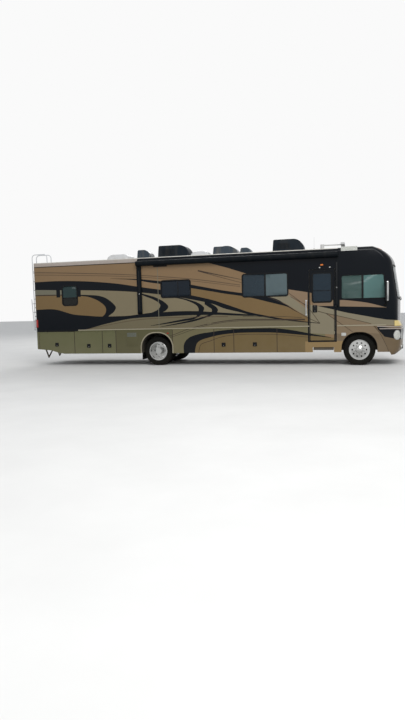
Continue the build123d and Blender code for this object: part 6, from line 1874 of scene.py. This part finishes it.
# %% Tyres


def add_tyre(bm, x, y):
    left = [(radius, -out, 0.0) for radius, out in TYRE_PROFILE_SIDE]
    right = [(radius, out, 0.0) for radius, out in TYRE_PROFILE_SIDE[::-1]]
    rings = []
    for radius, across, notch in left + tread_points() + right:
        ring = []
        for step, (c, s) in enumerate(circle(TYRE_STEPS)):
            reach = radius if step % NOTCH_EVERY else radius - notch
            ring.append(bm.verts.new((x + reach * c, y + across, AXLE_Z + reach * s)))
        rings.append(ring)
    join_rings(bm, rings + rings[:1])


TYRE_ROWS = (
    # CAD node, axle, places across
    ("tyre_front_right", FRONT_AXLE, (-1.05,)),
    ("tyre_front_left", FRONT_AXLE, (1.05,)),
    ("tyres_rear_right", REAR_AXLE, (-1.03, -0.70)),
    ("tyres_rear_left", REAR_AXLE, (1.03, 0.70)),
)
for node, axle, places in TYRE_ROWS:
    bm = bmesh.new()
    for place in places:
        add_tyre(bm, axle, place)
    place_piece(node + "_tread", bm, shades("tyre"), BODY_OF[node], (node,), 24.0)
    print(node, "turned", len(places), "tyre bodies")

# %% [markdown]
# Each wheel turns in a housing of black moulded plastic: a sheet bent over the arch and closed on its inner
# side, apart from a gap for the axle. The inner side reaches down to the foot of the arch, and there its dark
# plastic also stands for the shade under the body: painted shade. A rubber flap hangs behind each pair of
# rear tyres.

# %% Wheelhouse liners
# The inner wall runs down to this foot partly as a real liner and partly as a dark sheet for the shade under
# the body.
LINER_FOOT = 0.42
LINER_OUT_Y = HALF_WIDTH - 0.032
LINER_ROWS = (
    # name, axle, radius, top, inner side, half width and top of the gap for the axle
    ("wheelhouse_front", FRONT_AXLE, 0.534, 1.022, 0.56, 0.15, 0.70),
    ("wheelhouse_rear", REAR_AXLE, 0.544, 1.085, 0.556, 0.20, 0.74),
)
LINER_STEPS = 32
LINER_THICK = 0.004


def liner(name, axle, radius, top, inner_y, gap, gap_top, side):
    line = [(axle - radius, LINER_FOOT)]
    for step in range(LINER_STEPS + 1):
        turn = math.pi * (1 - step / LINER_STEPS)
        line.append((axle + radius * math.cos(turn), top - radius + radius * math.sin(turn)))
    line.append((axle + radius, LINER_FOOT))
    bm = bmesh.new()
    outer = [bm.verts.new((x, side * LINER_OUT_Y, z)) for x, z in line]
    inner = [bm.verts.new((x, side * inner_y, z)) for x, z in line]
    for index in range(len(line) - 1):
        bm.faces.new((outer[index], outer[index + 1], inner[index + 1], inner[index]))
    notch = ((gap, LINER_FOOT), (gap, gap_top), (-gap, gap_top), (-gap, LINER_FOOT))
    bm.faces.new(inner + [bm.verts.new((axle + ahead, side * inner_y, z)) for ahead, z in notch])
    bmesh.ops.recalc_face_normals(bm, faces=bm.faces)
    bmesh.ops.solidify(bm, geom=bm.faces[:], thickness=LINER_THICK)
    place_piece(name, bm, shades("bay_plastic"), "coach")


print("liner helper ready")

# %% Mud flaps, and one set for each side
FLAP_X = REAR_AXLE - 0.544
FLAP_IN_Y = 0.60
FLAP_OUT_Y = 1.16


def mud_flap(name, side):
    bm = bmesh.new()
    add_box(bm, (FLAP_X - 0.016, side * FLAP_IN_Y, 0.19), (FLAP_X - 0.007, side * FLAP_OUT_Y, 0.52), 0.003)
    add_box(bm, (FLAP_X - 0.024, side * FLAP_IN_Y, 0.47), (FLAP_X - 0.014, side * FLAP_OUT_Y, 0.51), 0.003, 1)
    place_piece(name, bm, shades("rubber", "steel"), "coach")


for side, word in ((-1, "right"), (1, "left")):
    for name, *sizes in LINER_ROWS:
        liner(name + "_" + word, *sizes, side)
    mud_flap("mud_flap_" + word, side)
print("wheelhouses lined")

# %% [markdown]
# The wheels wear bright covers: a dished cover with ten round holes and a bullet cap in front, and a deep
# cone behind. The CAD rim keeps its discs. Added here are the ring of nuts, the stepped hub cap and a
# rolled edge on the rim, each turned about the wheel's own axle, so that they spin with it.

# %% Profiles and nuts
NUT_CIRCLE_R = 0.1425
HUB_NUT_CIRCLE_R = 0.078
RIM_EDGE = (
    # radius, out from the tyre's side wall
    (0.279, -0.015), (0.288, -0.002), (0.298, 0.0), (0.3035, -0.004), (0.300, -0.011), (0.286, -0.017),
)
FRONT_HUB = (
    # radius, out from the disc
    (0.118, 0.0), (0.124, 0.008), (0.116, 0.014), (0.104, 0.018), (0.099, 0.044), (0.090, 0.0525),
    (0.050, 0.058), (0.046, 0.0595),
)
REAR_HUB = (
    (0.10, 0.0), (0.108, 0.012), (0.101, 0.030), (0.099, 0.10), (0.088, 0.112), (0.060, 0.116),
    (0.055, 0.130),
)
REAR_CAP_OUT = 0.112


def lifted(profile, by):
    return [(radius, height + by) for radius, height in profile]


def add_nuts(bm, at, circle_r, foot, count=10, size=0.0165, length=0.030):
    """A ring of six-sided nuts, each on its washer."""
    profile = ((size + 0.004, 0.0), (size + 0.003, 0.004), (size, 0.005), (size, length * 0.8),
               (size * 0.7, length))
    for nut in range(count):
        turn = 2 * math.pi * (nut + 0.5) / count
        place = at @ Matrix.Translation((circle_r * math.cos(turn), circle_r * math.sin(turn), foot))
        add_lathe(bm, profile, place, 6, 1)


print("wheel profiles ready")

# %% Hub caps and rim edges


def disc_out(node, axle, y, side):
    """How far out from the wheel's middle plane the rim's disc is, at the circle of nuts."""
    start = Vector((axle, side * FAR_OUT, AXLE_Z + NUT_CIRCLE_R + 0.002))
    hit = tree_of(node).ray_cast(start, Vector((0, -side, 0)))[0]
    return side * hit.y - side * y


def wheel_cover(node, axle, y):
    side = -1 if y < 0 else 1
    rear = axle == REAR_AXLE
    disc = disc_out(node, axle, y, side)
    at = y_turn((axle, y, AXLE_Z), side)
    bm = bmesh.new()
    add_lathe(bm, lifted(RIM_EDGE, TYRE_HALF_W), at, 96, closed=True)
    add_lathe(bm, lifted(REAR_HUB if rear else FRONT_HUB, disc), at, 64)
    add_nuts(bm, at, NUT_CIRCLE_R, disc)
    if rear:
        add_nuts(bm, at, HUB_NUT_CIRCLE_R, disc + REAR_CAP_OUT, 8, 0.008, 0.012)
    name = "wheel_cover_" + node.partition("_")[2]
    place_piece(name, bm, shades("chrome", "steel"), BODY_OF[node], crease=40.0)
    print(name, "disc face", round(disc, 4))


COVER_ROWS = (
    # node, axle, wheel middle
    ("rim_front_right", FRONT_AXLE, -1.05),
    ("rim_front_left", FRONT_AXLE, 1.05),
    ("rims_rear_right", REAR_AXLE, -1.03),
    ("rims_rear_left", REAR_AXLE, 1.03),
)
for row in COVER_ROWS:
    wheel_cover(*row)

# %% [markdown]
# A cab seat is foam under woven cloth. Each cushion is its own crowned form: a cube is subdivided, drawn
# out to a soft block, and its points are moved so that the top bulges, the sides pull in between the
# corners and the sewn channels sink. That is quicker than a cloth simulation and gives the same result on
# every run. A firm pedestal and two rails carry the seat, and two rods hold the headrest.

# %% Cushion maker
SOFT_POWER = 5.0
CROWN = 0.10
SIDE_PULL = 0.035
CHANNEL_DEEP = 0.16
CHANNEL_WIDE = 0.035
EDGE_SEAMS = (-0.86, 0.86)
EDGE_SEAM_DEEP = 0.10
EDGE_SEAM_WIDE = 0.03


def superblock(u, v, w):
    """Moves a point of a cube's surface out to a block with soft corners."""
    length = sum(abs(value) ** SOFT_POWER for value in (u, v, w)) ** (1 / SOFT_POWER)
    return u / length, v / length, w / length


def cushion(name, place, size, channels, cuts=22):
    """A padded block. size is its half sizes. It is crowned along local +Z, and channels run along X."""
    bm = bmesh.new()
    bmesh.ops.create_cube(bm, size=2.0)
    bmesh.ops.subdivide_edges(bm, edges=bm.edges[:], cuts=cuts, use_grid_fill=True)
    for vert in bm.verts:
        u, v, w = superblock(*vert.co)
        crowned = max(w, 0.0)
        pull = 1 - SIDE_PULL * (1 - w * w)
        bulge = CROWN * (1 - u * u) * (1 - v * v)
        for channel in channels:
            bulge -= CHANNEL_DEEP * math.exp(-((v - channel) / CHANNEL_WIDE) ** 2) * crowned * (1 - u ** 6)
        for edge in EDGE_SEAMS:
            bulge -= EDGE_SEAM_DEEP * math.exp(-((u - edge) / EDGE_SEAM_WIDE) ** 2) * crowned
        height = w * (1 - CROWN) + bulge * crowned
        vert.co = place @ Vector((u * size[0] * pull, v * size[1] * pull, height * size[2]))
    made = place_piece(name, bm, shades("seat"), "coach", ("seats",), 60.0)


print("cushion maker ready")

# %% Cab seats
SEAT_AT = FRONT_AXLE - 0.25
SEAT_LEAN = math.radians(-12)


def seat(name, y):
    flat = Matrix.Translation((SEAT_AT + 0.27, y, 1.520))
    cushion(name + "_cushion", flat, (0.268, 0.262, 0.078), (-0.42, 0.42))
    foot = Matrix.Translation((SEAT_AT - 0.02, y, 1.56)) @ Matrix.Rotation(SEAT_LEAN, 4, "Y")
    back = foot @ Matrix.Translation((0, 0, 0.305)) @ Matrix.Rotation(math.pi / 2, 4, "Y")
    cushion(name + "_back", back, (0.275, 0.254, 0.068), (-0.45, 0.45))
    head = foot @ Matrix.Translation((0, 0, 0.672)) @ Matrix.Rotation(math.pi / 2, 4, "Y")
    cushion(name + "_headrest", head, (0.088, 0.155, 0.060), (), cuts=14)
    bm = bmesh.new()
    add_box(bm, (SEAT_AT + 0.06, y - 0.16, BELT_Z), (SEAT_AT + 0.46, y + 0.16, 1.438), 0.012)
    add_box(bm, (SEAT_AT + 0.04, y - 0.19, 1.40), (SEAT_AT + 0.48, y + 0.19, 1.446), 0.010, 1)
    for side in (-1, 1):
        rod = [foot @ Vector((0, side * 0.07, height)) for height in (0.56, 0.62)]
        add_tube(bm, rod, 0.007, 10, 1)
        edge = y + side * 0.235
        add_tube(bm, [(SEAT_AT + 0.10, edge, 1.445), (SEAT_AT + 0.42, edge, 1.445)], 0.012, 10, 1)
    place_piece(name + "_pedestal", bm, shades("seat_edge", "satin_black"), "coach", ("seats",))


seat("seat_right", -0.58)
seat("seat_left", 0.58)
print("two cab seats of three padded pieces each")

# %% [markdown]
# On the roof, each air conditioner's shroud has louvres at its sides and back. They are slats laid on the
# faces that the shroud really has, found from its own mesh.

# %% Find the air conditioners
LUMP_MERGE = 1e-4
LUMP_POINTS = 8


def lumps_of(node):
    """The boxes of a node's separate solids, as (x0, x1, y0, y1, z0, z1)."""
    bm = bmesh.new()
    bm.from_mesh(frame["nodes"][node].data)
    bmesh.ops.remove_doubles(bm, verts=bm.verts, dist=LUMP_MERGE)
    left = set(bm.verts)
    found = []
    while left:
        queue = [left.pop()]
        group = []
        while queue:
            vert = queue.pop()
            group.append(vert.co.copy())
            for edge in vert.link_edges:
                other = edge.other_vert(vert)
                if other in left:
                    left.remove(other)
                    queue.append(other)
        if len(group) > LUMP_POINTS:
            found.append(tuple(pick(point[axis] for point in group)
                               for axis in range(3) for pick in (min, max)))
    bm.free()
    return sorted(found)


AIR_UNITS = lumps_of("roof_air_units")
print("air units", len(AIR_UNITS))

# %% Louvres
LOUVRE_R = 0.007
SIDE_SLATS = 6
SIDE_PITCH = 0.032
BACK_SLATS = 7
BACK_PITCH = 0.034


def add_slat(bm, tree, starts, way):
    """A thin bar between two places that rays find on the shroud. way is the way the rays go."""
    hits = [tree.ray_cast(Vector(start), way)[0] for start in starts]
    if None not in hits:
        add_tube(bm, [hit - way * 0.001 for hit in hits], LOUVRE_R, 6)


def unit_louvres():
    tree = tree_of("roof_air_units")
    bm = bmesh.new()
    for x0, x1, y0, y1, z0, _ in AIR_UNITS:
        back_end = x0 + 0.14
        ahead_end = back_end + (x1 - x0) * 0.42
        for side in (-1, 1):
            for row in range(SIDE_SLATS):
                z = z0 + 0.09 + row * SIDE_PITCH
                starts = [(x, side * FAR_OUT, z) for x in (back_end, ahead_end)]
                add_slat(bm, tree, starts, Vector((0, -side, 0)))
        for row in range(BACK_SLATS):
            z = z0 + 0.08 + row * BACK_PITCH
            add_slat(bm, tree, [(-FAR_OUT, y, z) for y in (y0 * 0.72, y1 * 0.72)], Vector((1, 0, 0)))
    place_piece("air_unit_louvres", bm, shades("satin_black"), "coach")


unit_louvres()

# %% [markdown]
# Behind, the coach has a bare plate in a black frame with a small lamp over it, a high brake lamp, a row of
# marker lamps, two reflectors and chrome frames round the lamp clusters. What stands away from the corners
# is set on the skin that a ray from behind finds there.

# %% Rear plate
PLATE_Z = 0.93
PLATE_LIGHT_Z = (1.004, 1.024)


def rear_plate():
    x = end_skin(0.0, PLATE_Z, -1)
    bm = bmesh.new()
    add_ring(bm, rounded(-0.20, 0.20, 0.86, 1.00, 0.02), rounded(-0.18, 0.18, 0.875, 0.985, 0.015),
             x - 0.008, x + 0.001, on_end=True)
    add_box(bm, (x - 0.003, -0.155, 0.885), (x + 0.001, 0.155, 0.975), 0.001, 1)
    add_box(bm, (x - 0.022, -0.05, PLATE_LIGHT_Z[0]), (x + 0.001, 0.05, PLATE_LIGHT_Z[1]), 0.004)
    place_piece("rear_plate_blank", bm, shades("satin_black", "white"), "coach")


rear_plate()

# %% Rear lamps and reflectors
REFLECTOR_PROFILE = ((0.036, 0.0), (0.036, 0.006), (0.026, 0.009))
REFLECTOR_Z = 0.93
REFLECTOR_Y = 0.62
BRAKE_LAMP_Z = (3.262, 3.292)
MARKER_Z = (3.318, 3.345)
MARKER_Y = (0.30, 0.62, 0.94)


def rear_lamps():
    bm = bmesh.new()
    x = end_skin(0.0, 3.28, -1)
    add_box(bm, (x - 0.012, -0.16, BRAKE_LAMP_Z[0]), (x + 0.001, 0.16, BRAKE_LAMP_Z[1]), 0.005)
    for side in (-1, 1):
        y = side * REFLECTOR_Y
        place = x_turn((end_skin(y, REFLECTOR_Z, -1) + 0.001, y, REFLECTOR_Z), -1)
        add_lathe(bm, REFLECTOR_PROFILE, place, 28)
        for out in MARKER_Y:
            y = side * out
            x = end_skin(y, 3.33, -1)
            add_box(bm, (x - 0.014, y - 0.045, MARKER_Z[0]), (x + 0.001, y + 0.045, MARKER_Z[1]), 0.005)
    place_piece("rear_red_lamps", bm, shades("red"), "coach")


rear_lamps()

# %% Frames of the rear lamps
FRAME_X = (-6.0, -5.984)
FRAME_Z = (1.318, 1.594)
FRAME_IN_Y = 1.142
FRAME_OUT_Y = 1.262
FRAME_BAR = 0.01


def rear_lamp_frames():
    """A chrome frame round each rear lamp cluster."""
    bm = bmesh.new()
    for side in (-1, 1):
        for z0, z1 in ((FRAME_Z[0], FRAME_Z[0] + FRAME_BAR), (FRAME_Z[1] - FRAME_BAR, FRAME_Z[1])):
            add_box(bm, (FRAME_X[0], side * FRAME_IN_Y, z0), (FRAME_X[1], side * FRAME_OUT_Y, z1), 0.002)
        edge = side * 1.146
        add_box(bm, (FRAME_X[0], edge - 0.006, FRAME_Z[0]), (FRAME_X[1], edge + 0.006, FRAME_Z[1]), 0.002)
    place_piece("rear_lamp_frames", bm, shades("chrome"), "coach")


rear_lamp_frames()

# %% [markdown]
# The slide-out room has a rubber wiper seal on its flange, trim round its windows and an awning roller,
# called a topper, over it. All of it rides with the room.

# %% Slide-out room trim
ROOM_LOW, ROOM_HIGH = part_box("slide_room")
ROOM_EDGE = grown_box((ROOM_LOW.x, ROOM_HIGH.x, ROOM_LOW.z, ROOM_HIGH.z), -0.006)
ROOM_WINDOWS = ((-0.44, 0.52, 2.131, 2.872), (1.46, 2.52, 2.131, 2.872))


def room_trim():
    y = ROOM_HIGH.y
    bm = bmesh.new()
    add_frame(bm, ROOM_EDGE, 0.024, (0.03, 0.02), y - 0.001, y + 0.005)
    for window in ROOM_WINDOWS:
        add_frame(bm, window, 0.042, (0.08, 0.05), y - 0.001, y + 0.006)
    place_piece("slide_room_trim", bm, shades("gloss_black"), "slide_room")


room_trim()

# %% Topper
TOPPER_Y = ROOM_HIGH.y + 0.034
TOPPER_Z = ROOM_HIGH.z - 0.045
TOPPER_LONG = ROOM_HIGH.x - ROOM_LOW.x - 0.10
TOPPER_END = ((0.030, 0.0), (0.032, 0.006), (0.032, 0.030), (0.026, 0.034))


def topper():
    far_end = [(radius, TOPPER_LONG - height) for radius, height in TOPPER_END[::-1]]
    bm = bmesh.new()
    add_lathe(bm, [*TOPPER_END, *far_end], x_turn((ROOM_LOW.x + 0.05, TOPPER_Y, TOPPER_Z)), 28)
    for x in (ROOM_LOW.x + 0.06, ROOM_HIGH.x - 0.09):
        add_box(bm, (x, ROOM_HIGH.y - 0.001, TOPPER_Z - 0.04),
                (x + 0.03, TOPPER_Y + 0.01, TOPPER_Z + 0.034), 0.004)
    place_piece("slide_topper", bm, shades("awning_case"), "slide_room")


topper()
